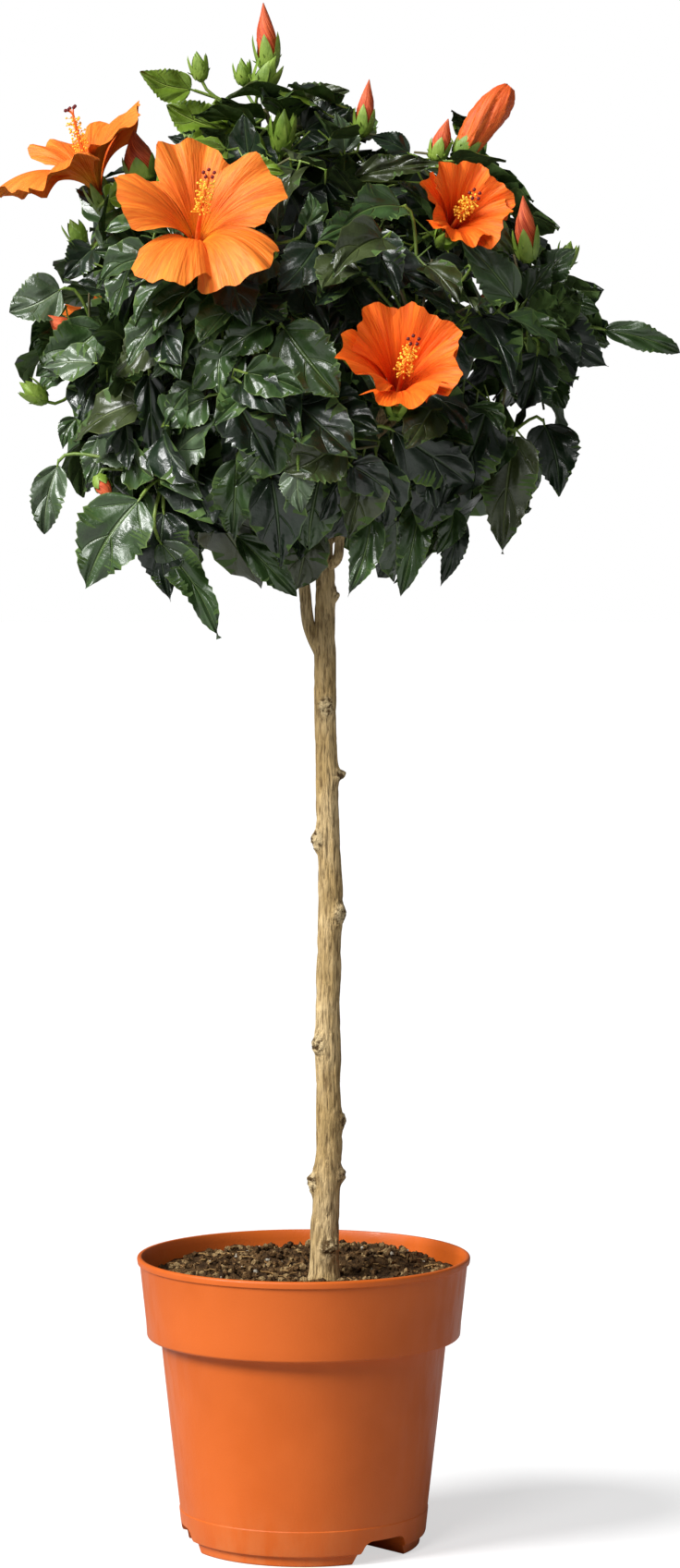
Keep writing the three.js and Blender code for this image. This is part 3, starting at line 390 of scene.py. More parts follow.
def ring_faces(count: int, sides: int) -> list[Array]:
    """Faces of stacked rings.

    Args:
        count: Number of rings.
        sides: Points of each ring.

    Returns:
        The walls, and the caps that close both ends on the last two points.
    """
    ring = np.arange(sides)
    following = (ring + 1) % sides
    start = (np.arange(count - 1) * sides)[:, None]
    walls = np.stack([start + ring, start + following, start + sides + following, start + sides + ring], axis=-1)
    foot, last = count * sides, (count - 1) * sides
    caps = np.concatenate([
        np.stack([following, ring, np.full(sides, foot)], axis=-1),
        np.stack([last + ring, last + following, np.full(sides, foot + 1)], axis=-1),
    ])
    return [walls.reshape(-1, 4), caps]


def grid_faces(numbers: Array) -> Array:
    """Faces of a grid of point numbers."""
    corners = (numbers[:-1, :-1], numbers[1:, :-1], numbers[1:, 1:], numbers[:-1, 1:])
    return np.stack(corners, axis=-1).reshape(-1, 4)


def frame_along(foot: Vector, tip: Vector, towards: Vector, roll: float = 0.0) -> Pose:
    """The frame of a blade whose upper side is turned as near as can be to a direction.

    Args:
        foot: Foot of the blade.
        tip: Its tip.
        towards: Where its upper side should look.
        roll: Turn about its own length, in radians.

    Returns:
        Foot, direction and upper side.
    """
    along = (tip - foot).normalized()
    face = (towards - along * towards.dot(along)).normalized()
    face.rotate(Quaternion(along, roll))
    return foot, along, face


def turned(way: Vector, axis: Vector, angle: float) -> Vector:
    """Turns a direction.

    Args:
        way: The direction.
        axis: What it turns about.
        angle: How far, in radians.

    Returns:
        The new direction.
    """
    way = way.copy()
    way.rotate(Quaternion(axis, angle))
    return way


def read_points(mesh: bpy.types.Mesh) -> Array:
    """A mesh's points, in its own units."""
    return np.array([vertex.co[:] for vertex in mesh.vertices])


def write_points(mesh: bpy.types.Mesh, points: Array) -> None:
    """Moves a mesh's points to places in millimetres."""
    mesh.vertices.foreach_set("co", (points * MM).astype(np.float32).ravel())
    mesh.update()


@dataclass
class MeshHeap:
    """Gathers many small shapes, in millimetres, that become one joined mesh."""

    points: list[Array] = field(default_factory=list)
    faces: list[Array] = field(default_factory=list)
    shades: list[Array] = field(default_factory=list)
    places: list[Array] = field(default_factory=list)
    count: int = 0

    def add(self, shape: Shape, shade: int = 0, places: Array | None = None, under: int = -1) -> None:
        """Adds a shape.

        Args:
            shape: Points and one or two groups of faces.
            shade: Number of its material.
            places: Where each point lies on the pattern, from 0 to 1 both ways.
            under: Number of the second group's material, where that is another one.
        """
        points, groups = shape
        for faces, own in zip(groups, (shade, shade if under < 0 else under)):
            self.faces.append(faces + self.count)
            self.shades.append(np.full(len(faces), own))
        self.points.append(points)
        self.places.append(np.zeros((len(points), 2)) if places is None else places)
        self.count += len(points)

    def piece(self, name: str, finishes: Sequence[Finish], crease: float = 60.0) -> Piece:
        """Makes the joined mesh.

        Args:
            name: Name of the piece.
            finishes: Materials in the order of their numbers.
            crease: Edges bent more than this, in degrees, stay sharp.

        Returns:
            The new object.
        """
        corners = np.concatenate([faces.ravel() for faces in self.faces])
        sizes = np.concatenate([np.full(len(faces), faces.shape[1]) for faces in self.faces])
        mesh = bpy.data.meshes.new(name)
        mesh.vertices.add(self.count)
        mesh.loops.add(len(corners))
        mesh.loops.foreach_set("vertex_index", corners.astype(np.int32))
        mesh.polygons.add(len(sizes))
        mesh.polygons.foreach_set("loop_start", np.concatenate([[0], np.cumsum(sizes)[:-1]]).astype(np.int32))
        mesh.polygons.foreach_set("material_index", np.concatenate(self.shades).astype(np.int32))
        layer = mesh.uv_layers.new(name="Pattern")
        layer.data.foreach_set("uv", np.concatenate(self.places)[corners].astype(np.float32).ravel())
        write_points(mesh, np.concatenate(self.points))
        mesh.update(calc_edges=True)
        mesh.validate()
        mesh.shade_smooth()
        mesh.set_sharp_from_angle(angle=math.radians(crease))
        piece = bpy.data.objects.new(name, mesh)
        bpy.context.scene.collection.objects.link(piece)
        for finish in finishes:
            mesh.materials.append(finish)
        return piece


def settle(piece: Piece, nodes: Sequence[str] = ()) -> None:
    """Puts a finished piece on the plant's body.

    Args:
        piece: The piece.
        nodes: The solids that it replaces.
    """
    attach(piece, "root")
    if nodes:
        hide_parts(*nodes)
    LOG.info("%s: %d triangles", piece.name, sum(len(polygon.vertices) - 2 for polygon in piece.data.polygons))


def clear_selection() -> None:
    """Deselects everything, before an operator acts."""
    bpy.ops.object.select_all(action="DESELECT")


# Finishes


class Bench:
    """Puts nodes into one node tree and joins them."""

    def __init__(self, tree: bpy.types.NodeTree) -> None:
        """Starts on a tree."""
        self.tree = tree

    def fill(self, node: bpy.types.Node, sockets: dict) -> bpy.types.Node:
        """Sets a node's inputs.

        Args:
            node: The node.
            sockets: A value or another node's socket for each input.

        Returns:
            The node.
        """
        for name, value in sockets.items():
            if isinstance(value, Socket):
                self.tree.links.new(value, node.inputs[name])
            else:
                node.inputs[name].default_value = value
        return node

    def put(self, kind: str, sockets: dict | None = None, **settings: object) -> bpy.types.Node:
        """Adds a node.

        Args:
            kind: Its type without the "ShaderNode" in front.
            sockets: Values or other sockets for its inputs.
            settings: Its own settings.

        Returns:
            The node.
        """
        node = self.tree.nodes.new("ShaderNode" + kind)
        for name, value in settings.items():
            setattr(node, name, value)
        return self.fill(node, sockets or {})

    def sum(self, first: object, second: object, operation: str = "ADD") -> Socket:
        """The result of a sum on two values."""
        return self.put("Math", {0: first, 1: second}, operation=operation).outputs[0]

    def times(self, first: object, second: object) -> Socket:
        """Two values multiplied."""
        return self.sum(first, second, "MULTIPLY")

    def blend(self, share: object, first: object, second: object) -> Socket:
        """Two colours mixed by a share."""
        return self.put("Mix", {0: share, 6: first, 7: second}, data_type="RGBA").outputs[2]

    def ease(self, value: Socket, low: float, high: float, start: float = 0.0, end: float = 1.0) -> Socket:
        """Maps low to high smoothly onto start to end."""
        sockets = {"Value": value, "From Min": low, "From Max": high, "To Min": start, "To Max": end}
        return self.put("MapRange", sockets, interpolation_type="SMOOTHSTEP").outputs[0]


class Effect(Bench):
    """A shader node group that many materials share."""

    def __init__(self, name: str, inputs: dict[str, float | Place], outputs: Sequence[str]) -> None:
        """Starts the group.

        Args:
            name: Name of the group.
            inputs: First value of each input.
            outputs: Names of its outputs, all single values.
        """
        super().__init__(bpy.data.node_groups.new(name, "ShaderNodeTree"))
        for label, value in inputs.items():
            kind = "NodeSocketFloat" if isinstance(value, float) else "NodeSocketVector"
            self.tree.interface.new_socket(label, in_out="INPUT", socket_type=kind).default_value = value
        for label in outputs:
            self.tree.interface.new_socket(label, in_out="OUTPUT", socket_type="NodeSocketFloat")
        self.entry = self.tree.nodes.new("NodeGroupInput").outputs
        self.leave = self.tree.nodes.new("NodeGroupOutput")


def mottle_effect() -> bpy.types.NodeTree:
    """Makes soft blotches: a mask from 0 to 1.

    Returns:
        The node group.
    """
    inputs = {"Vector": (0.0, 0.0, 0.0), "Scale": 40.0, "Stretch": (1.0, 1.0, 1.0), "Detail": 3.0}
    effect = Effect("Mottle", inputs, ["Mask"])
    entry = effect.entry
    spread = effect.put("VectorMath", {0: entry["Vector"], 1: entry["Stretch"]}, operation="MULTIPLY").outputs[0]
    sockets = {"Vector": spread, "Scale": entry["Scale"], "Detail": entry["Detail"], "Roughness": 0.6}
    noise = effect.put("TexNoise", sockets).outputs[0]
    effect.fill(effect.leave, {"Mask": effect.ease(noise, 0.34, 0.66)})
    return effect.tree


def ribs_effect() -> bpy.types.NodeTree:
    """Makes midrib, side veins and margin of a blade, and the swelling of the blade between them.

    Returns:
        The node group.
    """
    effect = Effect("Ribs", {"Place": (0.0, 0.0, 0.0), "Pairs": 6.0}, ["Ribs", "Swell", "Margin"])
    parts = effect.put("SeparateXYZ", {0: effect.entry["Place"]}).outputs
    aside = effect.times(effect.sum(parts[1], 0.5, "SUBTRACT"), 2.0)
    aside = effect.put("Math", {0: aside}, operation="ABSOLUTE").outputs[0]
    slant = effect.sum(effect.times(parts[0], effect.entry["Pairs"]), effect.times(aside, 1.7), "SUBTRACT")
    wave = effect.sum(slant, 1.0, "PINGPONG")
    side = effect.times(effect.ease(wave, 0.0, 0.1, 1.0, 0.0), effect.ease(aside, 0.35, 1.0, 0.6, 0.05))
    ribs = effect.sum(effect.ease(aside, 0.015, 0.08, 1.0, 0.0), side, "MAXIMUM")
    swell = effect.times(effect.ease(wave, 0.0, 0.9), effect.ease(aside, 0.05, 0.4))
    swell = effect.sum(swell, effect.times(ribs, 0.7), "SUBTRACT")
    effect.fill(effect.leave, {"Ribs": ribs, "Swell": swell, "Margin": effect.ease(aside, 0.93, 1.0)})
    return effect.tree


MOTTLE = mottle_effect()
RIBS = ribs_effect()


class Coat(Bench):
    """The bench of one material."""

    def __init__(self, name: str) -> None:
        """Starts the material and finds its Object coordinates.

        Args:
            name: Name of the material.
        """
        self.material = bpy.data.materials.new(name)
        self.material.use_nodes = True
        super().__init__(self.material.node_tree)
        self.shader = self.tree.nodes["Principled BSDF"]
        self.place = self.put("TexCoord").outputs["Object"]

    def pattern(self) -> Socket:
        """Where a point lies on the piece's own pattern."""
        return self.put("UVMap", uv_map="Pattern").outputs[0]

    def mottle(
        self, scale: float, stretch: Place = (1.0, 1.0, 1.0), detail: float = 3.0, place: Socket | None = None
    ) -> Socket:
        """A mask of soft blotches, on Object coordinates where no others are given."""
        sockets = {"Vector": place or self.place, "Scale": scale, "Stretch": stretch, "Detail": detail}
        return self.put("Group", sockets, node_tree=MOTTLE).outputs[0]

    def finish(self, colour: Socket, height: Socket, bump: Pair, rough: object, specular: float = 0.5) -> Finish:
        """Feeds the shader.

        Args:
            colour: Base colour.
            height: Height of the relief.
            bump: Its strength, and its depth in millimetres.
            rough: Roughness.
            specular: Specular level.

        Returns:
            The material.
        """
        relief = self.put("Bump", {"Strength": bump[0], "Distance": bump[1] * MM, "Height": height}).outputs[0]
        self.fill(self.shader, {
            "Base Color": colour, "Normal": relief, "Roughness": rough, "Specular IOR Level": specular,
        })
        return self.material


def scaled(colour: Colour, factor: float) -> Colour:
    """A darker or lighter colour of the same hue."""
    return (colour[0] * factor, colour[1] * factor, colour[2] * factor, 1.0)


def rgb(*shares: float) -> Colour:
    """A colour from its three shares as seen on screen, from 0 to 255."""
    linear = [((share / 255 + 0.055) / 1.055) ** 2.4 if share > 10 else share / 255 / 12.92 for share in shares]
    return (*linear, 1.0)


@dataclass(frozen=True)
class LeafFinish:
    """A leaf's surface, glossy above and dull below."""

    name: str
    base: Colour
    rib: Colour
    rib_share: float
    gloss: float
    specular: float
    vein_pairs: float = 4.6
    margin_share: float = 0.5

    def make(self) -> Finish:
        """Builds the material.

        Returns:
            The material.
        """
        coat = Coat(self.name)
        ribs = coat.put("Group", {"Place": coat.pattern(), "Pairs": self.vein_pairs}, node_tree=RIBS).outputs
        blotch = coat.mottle(60.0)
        blade = coat.blend(blotch, scaled(self.base, 0.8), scaled(self.base, 1.25))
        veined = coat.blend(coat.times(ribs["Ribs"], self.rib_share), blade, self.rib)
        edged = coat.blend(coat.times(ribs["Margin"], self.margin_share), veined, self.rib)
        height = coat.sum(ribs["Swell"], coat.times(coat.mottle(420.0), 0.05))
        rough = coat.ease(blotch, 0.0, 1.0, self.gloss, self.gloss + 0.12)
        return coat.finish(edged, height, (0.85, 2.2), rough, self.specular)


@dataclass(frozen=True)
class PetalFinish:
    """A petal: deep throat, paler rim and fine veins from throat to rim."""

    name: str
    throat: Colour
    heart: Colour
    middle: Colour
    rim: Colour
    vein: Colour
    depth: float = 0.7
    veining: float = 0.5

    def make(self) -> Finish:
        """Builds the material.

        Returns:
            The material.
        """
        coat = Coat(self.name)
        pattern = coat.pattern()
        ramp = coat.put("ValToRGB", {0: coat.put("SeparateXYZ", {0: pattern}).outputs[0]})
        stops = ((0.03, self.throat), (0.16, self.heart), (0.42, self.middle), (0.95, self.rim))
        for _ in stops[2:]:
            ramp.color_ramp.elements.new(0.5)
        for element, (place, colour) in zip(ramp.color_ramp.elements, stops):
            element.position = place
            element.color = colour
        veins = coat.mottle(1.0, (3.4, 34.0, 1.0), 3.0, pattern)
        broad = coat.mottle(1.0, (2.0, 11.0, 1.0), 2.0, pattern)
        veined = coat.blend(coat.times(veins, self.veining), ramp.outputs[0], self.vein)
        lit = coat.blend(coat.times(broad, 0.2), veined, self.rim)
        height = coat.sum(broad, coat.times(veins, 0.5), "SUBTRACT")
        coat.fill(coat.shader, {"Subsurface Weight": 0.15, "Subsurface Radius": (0.004, 0.0015, 0.0006)})
        return coat.finish(lit, height, (0.6, self.depth), 0.55, 0.3)


@dataclass(frozen=True)
class StemFinish:
    """Smooth green or woody skin of stalks, shoots and calyces."""

    name: str
    base: Colour
    other: Colour
    rough: float

    def make(self) -> Finish:
        """Builds the material.

        Returns:
            The material.
        """
        coat = Coat(self.name)
        skin = coat.blend(coat.mottle(90.0), self.base, self.other)
        return coat.finish(skin, coat.mottle(500.0, (1.0, 1.0, 0.3)), (0.5, 0.3), self.rough)


@dataclass(frozen=True)
class BarkFinish:
    """Dry tan bark with upright cracks and darker scars. Cracks and scar hollows darken where the relief sinks,
    partly the bark's own colour and partly painted shade.
    """

    name: str
    ridge: Colour = (0.72, 0.53, 0.27, 1.0)
    flank: Colour = (0.50, 0.34, 0.14, 1.0)
    # Colour in the cracks: partly the bark's own darker colour, partly painted shade.
    crack: Colour = (0.10, 0.055, 0.018, 1.0)
    scar: Colour = (0.68, 0.52, 0.28, 1.0)

    def make(self) -> Finish:
        """Builds the material.

        Returns:
            The material.
        """
        coat = Coat(self.name)
        streak = coat.mottle(640.0, (1.0, 1.0, 0.15), 6.0)
        fibre = coat.mottle(1100.0, (1.0, 1.0, 0.05))
        lump = coat.mottle(300.0, detail=4.0)
        swell = coat.put("Attribute", attribute_name="Scar").outputs["Fac"]
        skin = coat.blend(coat.mottle(60.0, (1.0, 1.0, 0.5)), self.flank, self.ridge)
        # Darker along the grooves of the relief: partly the bark's own colour in the cracks, partly painted shade
        # in them.
        dark = coat.sum(coat.ease(streak, 0.0, 0.5, 0.6, 0.0), coat.ease(fibre, 0.0, 0.6, 0.3, 0.0))
        wood = coat.blend(dark, skin, self.crack)
        # The scars' hollows take the crack colour, in part as painted shade.
        pale = coat.blend(coat.ease(lump, 0.1, 0.6), self.crack, self.scar)
        colour = coat.blend(coat.ease(swell, 0.35, 1.1), wood, pale)
        cracks = coat.sum(streak, coat.times(fibre, 0.5))
        height = coat.sum(cracks, coat.times(coat.times(lump, swell), 1.5))
        return coat.finish(colour, height, (0.9, 0.7), 0.85, 0.25)


@dataclass(frozen=True)
class PotFinish:
    """Matt terracotta-coloured plastic, faintly cloudy, scuffed and dusty near the foot."""

    name: str = "pot_plastic"
    base: Colour = (0.56, 0.106, 0.011, 1.0)
    cloudy: Colour = (0.61, 0.122, 0.016, 1.0)
    dust: Colour = (0.62, 0.25, 0.09, 1.0)

    def make(self) -> Finish:
        """Builds the material.

        Returns:
            The material.
        """
        coat = Coat(self.name)
        cloud = coat.mottle(14.0)
        scuff = coat.mottle(120.0, (1.0, 1.0, 0.22), 6.0)
        low = coat.ease(coat.put("SeparateXYZ", {0: coat.place}).outputs[2], 0.0, 0.04, 0.22, 0.0)
        skin = coat.blend(cloud, self.base, self.cloudy)
        dusty = coat.blend(coat.times(low, scuff), skin, self.dust)
        rough = coat.ease(scuff, 0.0, 1.0, 0.36, 0.5)
        return coat.finish(dusty, coat.sum(coat.mottle(900.0), cloud), (0.25, 0.12), rough, 0.28)


@dataclass(frozen=True)
class GrainyFinish:
    """Dull, crumbly matter such as soil, bark chips and perlite."""

    name: str
    base: Colour
    other: Colour

    def make(self) -> Finish:
        """Builds the material.

        Returns:
            The material.
        """
        coat = Coat(self.name)
        coarse = coat.mottle(160.0, detail=6.0)
        colour = coat.blend(coarse, self.base, self.other)
        return coat.finish(colour, coat.sum(coat.mottle(900.0), coarse), (1.0, 1.0), 0.95, 0.15)


# In the order of the tones, and last the underside. The pale grey-green is a painted sheen.
LEAF_FINISHES = tuple(LeafFinish(*row) for row in (
    # The dark green is partly the leaves' own colour and partly painted shade, made darker for the crown's inside.
    ("leaf_dark", rgb(20, 37, 19), rgb(84, 110, 58), 0.34, 0.29, 0.85),
    ("leaf_mid", rgb(46, 71, 29), rgb(116, 144, 70), 0.4, 0.3, 0.95),
    ("leaf_olive", rgb(52, 62, 28), rgb(110, 126, 62), 0.4, 0.32, 0.85),
    ("leaf_young", rgb(94, 119, 30), rgb(164, 184, 84), 0.4, 0.33, 0.5),
    ("leaf_painted_sheen", rgb(74, 92, 64), rgb(138, 158, 108), 0.4, 0.3, 1.0),
    ("leaf_underside", rgb(70, 93, 45), rgb(128, 152, 82), 0.6, 0.6, 0.25),
))
# Throat, heart, middle, rim and veins of pale, deep, furled and withered petals
PETAL_FINISHES = tuple(PetalFinish(*row) for row in (
    ("petal_salmon", rgb(226, 74, 14), rgb(250, 160, 30), rgb(240, 112, 20), rgb(246, 138, 46), rgb(208, 60, 8)),
    ("petal_vermilion", rgb(176, 12, 6), rgb(216, 42, 8), rgb(238, 94, 12), rgb(246, 118, 26), rgb(212, 54, 6)),
    ("petal_furled", rgb(196, 56, 20), rgb(216, 80, 34), rgb(222, 92, 42), rgb(234, 120, 70), rgb(146, 20, 6),
     0.35, 0.85),
    ("petal_withered", rgb(242, 112, 28), rgb(242, 116, 36), rgb(238, 116, 38), rgb(222, 100, 38),
     rgb(180, 52, 12), 0.45, 0.7),
))
FURLED_SHADE, WITHERED_SHADE, STIGMA_SHADE = 2, 3, 4


# Trunk and boughs


def trunk_at(height: Array | float) -> list[Array]:
    """Where the trunk's middle is at a height, and its radius there."""
    return [np.interp(height, TRUNK[:, 0], TRUNK[:, axis]) for axis in (1, 2, 3)]


def main_bough_route(name: str) -> Route:
    """The curve of a main bough.

    Args:
        name: Name of the bough.

    Returns:
        The curve from its seat on the trunk to its tip.
    """
    seat, bearing, radius, _, climb, tip = MAIN_BOUGHS[name]
    x, y, trunk_radius = (float(value) for value in trunk_at(seat))
    outward = Vector((math.cos(math.radians(bearing)), math.sin(math.radians(bearing)), 0.0))
    if name == "leader":
        start = Vector((x, y, seat + GAP))
        return Route.through([start, start + UP * climb, Vector(tip)])
    start = Vector((x, y, seat)) + outward * trunk_radius * 0.3
    clear = -0.9 if name == "left" else 0.6
    beside = Vector((x, y, seat + climb * 0.3)) + outward * (trunk_radius + radius + clear)
    leaving = beside + UP * climb * 0.7 + outward * climb * 0.12
    return Route.through([start, beside, leaving, Vector(tip)])


class Cells:
    """The spaces of the masses. A point belongs to the nearest middle, so each space is convex."""

    def __init__(self) -> None:
        """Finds the walls between each middle and all others."""
        self.middles = np.array([plan[0] for plan in MASSES.values()], float)
        self.walls = []
        for index, middle in enumerate(self.middles):
            others = np.delete(self.middles, index, axis=0)
            normals = others - middle
            normals /= np.linalg.norm(normals, axis=1)[:, None]
            self.walls.append((normals, np.sum(normals * (others + middle) / 2, axis=1)))

    def depth(self, points: Array, index: int) -> float:
        """How far the outermost of some points is inside a space. It is negative outside."""
        normals, limits = self.walls[index]
        return float(np.min(limits[:, None] - normals @ np.atleast_2d(points).T))

    def owner(self, point: Place) -> int:
        """The mass whose space a point is in."""
        return int(np.argmin(np.linalg.norm(self.middles - np.array(point, float), axis=1)))


CELLS = Cells()


def in_crown(points: Array, share: float) -> bool:
    """Whether all the points are inside the crown's round form, shrunk to a share."""
    offsets = (np.atleast_2d(points) - np.array(CROWN_MIDDLE)) / (np.array(CROWN_RADII) * share)
    return bool(np.all(np.sum(offsets**2, axis=1) <= 1.0))


def side_bough_route(parent: Route, fork: float, index: int) -> Route:
    """The curve of a side bough, which ends just inside its mass's space.

    Args:
        parent: The main bough.
        fork: Share of the main bough where it forks off.
        index: Number of its mass.

    Returns:
        The curve.
    """
    start = parent.at(fork)
    middle = Vector(CELLS.middles[index])
    over = start + parent.heading(fork) * (start - middle).length * 0.12
    over = over.lerp(start.lerp(middle, 0.4), 0.5)
    whole = Route.through([start, over, middle])
    share = 0.3
    while share < 0.8 and CELLS.depth(whole.points([share]), index) < BOUGH_TIP_INSIDE:
        share += 0.05
    return Route.through([start, whole.at(share * 0.5), whole.at(share)])


@dataclass(frozen=True)
class BarkRelief:
    """Cracks and lumps of the bark, as radius added to a limb."""

    cracks_round: int
    crack_length: float
    crack_depth: float
    lump: float

    def added(self, bearing: Array, height: Array, seed: int) -> Array:
        """The relief of a limb's skin.

        Args:
            bearing: Bearings in radians.
            height: Heights above the limb's foot.
            seed: Seed of its noise.

        Returns:
            Millimetres added to the radius.
        """
        turn, count = bearing / FULL_TURN, self.cracks_round
        crack = lattice_noise(turn * count, height / self.crack_length, seed, count)
        fine = lattice_noise(turn * count * 3, height / self.crack_length * 2, seed + 1, count * 3)
        lump = lattice_noise(turn * 5, height / 16, seed + 2, 5)
        groove = -np.maximum(0.0, 0.35 - np.abs(crack)) / 0.35
        return groove * self.crack_depth + fine * self.crack_depth * 0.4 + lump * self.lump


@dataclass
class Wood:
    """Trunk, main boughs and side boughs with the relief of their bark."""

    ring_cuts: tuple[int, int] = (21, 21)
    trunk_sides: int = 96
    relief: BarkRelief = BarkRelief(17, 15.0, 0.42, 0.45)
    bough_sides: int = 20
    bough_step: float = 1.6
    bough_relief: BarkRelief = BarkRelief(8, 9.0, 0.16, 0.16)
    routes: dict[str, Route] = field(default_factory=dict)
    radii: dict[str, Pair] = field(default_factory=dict)
    tips: dict[str, tuple[Vector, Vector]] = field(default_factory=dict)

    def lay_out(self) -> None:
        """Works out every bough's curve and where each mass's stem starts."""
        names = list(MASSES)
        for bough, plan in MAIN_BOUGHS.items():
            route = main_bough_route(bough)
            self.routes["bough_" + bough] = route
            self.radii["bough_" + bough] = plan[2:4]
            for mass, (_, bearer, fork) in MASSES.items():
                if bearer != bough:
                    continue
                bearing = route
                if fork < 1.0:
                    bearing = side_bough_route(route, fork, names.index(mass))
                    self.routes["side_bough_" + mass] = bearing
                    self.radii["side_bough_" + mass] = SIDE_BOUGH_RADII
                self.tips[mass] = (bearing.at(1.0), bearing.heading(1.0))

    def plain_limbs(self, grow: float) -> list[Shape]:
        """Makes the plain tubes that leaves and twigs keep clear of.

        Args:
            grow: How much thicker than the limbs they are.

        Returns:
            Trunk and boughs.
        """
        heights = np.arange(TRUNK_FOOT, TRUNK_TOP + 1, 12.0)
        x, y, radii = trunk_at(heights)
        limbs = [tube(np.column_stack([x, y, heights]), radii + grow, 9)]
        for name, route in self.routes.items():
            limbs.append(tube(route.points(np.linspace(0, 1, 8)), np.linspace(*self.radii[name], 8) + grow, 5))
        return limbs

    def trunk(self) -> None:
        """Turns a cylinder into the trunk, with its scars and cracks."""
        clear_selection()
        bpy.ops.mesh.primitive_cylinder_add(vertices=self.trunk_sides, radius=1.0, depth=1.0, end_fill_type="NGON")
        piece = bpy.context.object
        piece.name = piece.data.name = "trunk_bark"
        bpy.ops.object.mode_set(mode="EDIT")
        for cuts in self.ring_cuts:
            bpy.ops.mesh.select_all(action="DESELECT")
            for edge in bmesh.from_edit_mesh(piece.data).edges:
                edge.select_set(abs(edge.verts[0].co.z - edge.verts[1].co.z) > 1e-4)
            bmesh.update_edit_mesh(piece.data)
            bpy.ops.mesh.subdivide(number_cuts=cuts)
        bpy.ops.object.mode_set(mode="OBJECT")
        self.shape_trunk(piece.data)
        bpy.ops.object.shade_smooth()
        piece.data.materials.append(BarkFinish("bark").make())
        settle(piece, ["trunk"])

    def shape_trunk(self, mesh: bpy.types.Mesh) -> None:
        """Moves the cylinder's points to the trunk's skin.

        Args:
            mesh: The cylinder's mesh, of height 1.
        """
        points = read_points(mesh)
        height = lerp(TRUNK_FOOT, TRUNK_TOP, points[:, 2] + 0.5)
        bearing = np.arctan2(points[:, 1], points[:, 0]) % FULL_TURN
        x, y, radius = trunk_at(height)
        swell = np.zeros(len(height))
        for knot, toward, out, half in KNOTS:
            turn = np.maximum(0.0, np.cos(bearing - math.radians(toward))) ** 4
            swell += out * np.exp(-(((height - knot) / half) ** 2)) * turn
        above = height - TRUNK_FOOT
        knobs = lattice_noise(bearing / FULL_TURN * 20, above / 1.9, 23, 20)
        ripple = 1.3 * knobs * np.minimum(1.0, swell / 1.2)
        rounding = 1.2 * smoothstep(height, TRUNK_TOP - 2.0, TRUNK_TOP + 1.0)
        radius = radius + swell * 1.5 + self.relief.added(bearing, above, 11) + ripple - rounding
        scar = mesh.attributes.new("Scar", "FLOAT", "POINT")
        scar.data.foreach_set("value", swell.astype(np.float32))
        write_points(mesh, np.column_stack([x + np.cos(bearing) * radius, y + np.sin(bearing) * radius, height]))

    def boughs(self) -> None:
        """All the boughs as one piece, each a tapered limb with its own relief."""
        heap = MeshHeap()
        bearing = np.arange(self.bough_sides) * FULL_TURN / self.bough_sides
        for number, (name, route) in enumerate(self.routes.items()):
            length = route.lengths[-1]
            shares = np.linspace(0, 1, int(length / self.bough_step) + 2)
            rough = self.bough_relief.added(*np.meshgrid(bearing, shares * length), 31 + number * 3)
            radius = lerp(*self.radii[name], shares)[:, None] + rough
            heap.add(tube(route.points(shares), radius, self.bough_sides))
        settle(heap.piece("bough_bark", [BarkFinish("bough_bark").make()]), list(self.routes))


# Pot and soil


def turned_piece(name: str, outline: Outline, steps: int) -> Piece:
    """Extrudes a round plate ring by ring along an outline, as on a lathe.

    Args:
        name: Name of the piece.
        outline: Radius and height of each ring, the first and last closed by a flat face.
        steps: Number of sides.

    Returns:
        The closed piece, its object at the origin.
    """
    clear_selection()
    radius, height = outline[0]
    bpy.ops.mesh.primitive_circle_add(vertices=steps, radius=radius * MM, fill_type="NGON")
    piece = bpy.context.object
    piece.name = piece.data.name = name
    bpy.ops.object.mode_set(mode="EDIT")
    bpy.ops.mesh.select_all(action="SELECT")
    bpy.ops.transform.translate(value=(0.0, 0.0, height * MM))
    for following, level in outline[1:]:
        rise = (0.0, 0.0, (level - height) * MM)
        bpy.ops.mesh.extrude_region_move(TRANSFORM_OT_translate={"value": rise})
        share = following / radius
        bpy.ops.transform.resize(value=(share, share, 1.0), center_override=(0.0, 0.0, level * MM))
        radius, height = following, level
    bpy.ops.mesh.select_all(action="SELECT")
    bpy.ops.mesh.normals_make_consistent(inside=False)
    bpy.ops.object.mode_set(mode="OBJECT")
    return piece


def arc(middle: Pair, radius: float, start: float, end: float, steps: int) -> Outline:
    """Points of an arc in an outline, between two angles in degrees."""
    angles = [math.radians(lerp(start, end, k / steps)) for k in range(steps + 1)]
    return [(middle[0] + radius * math.cos(a), middle[1] + radius * math.sin(a)) for a in angles]


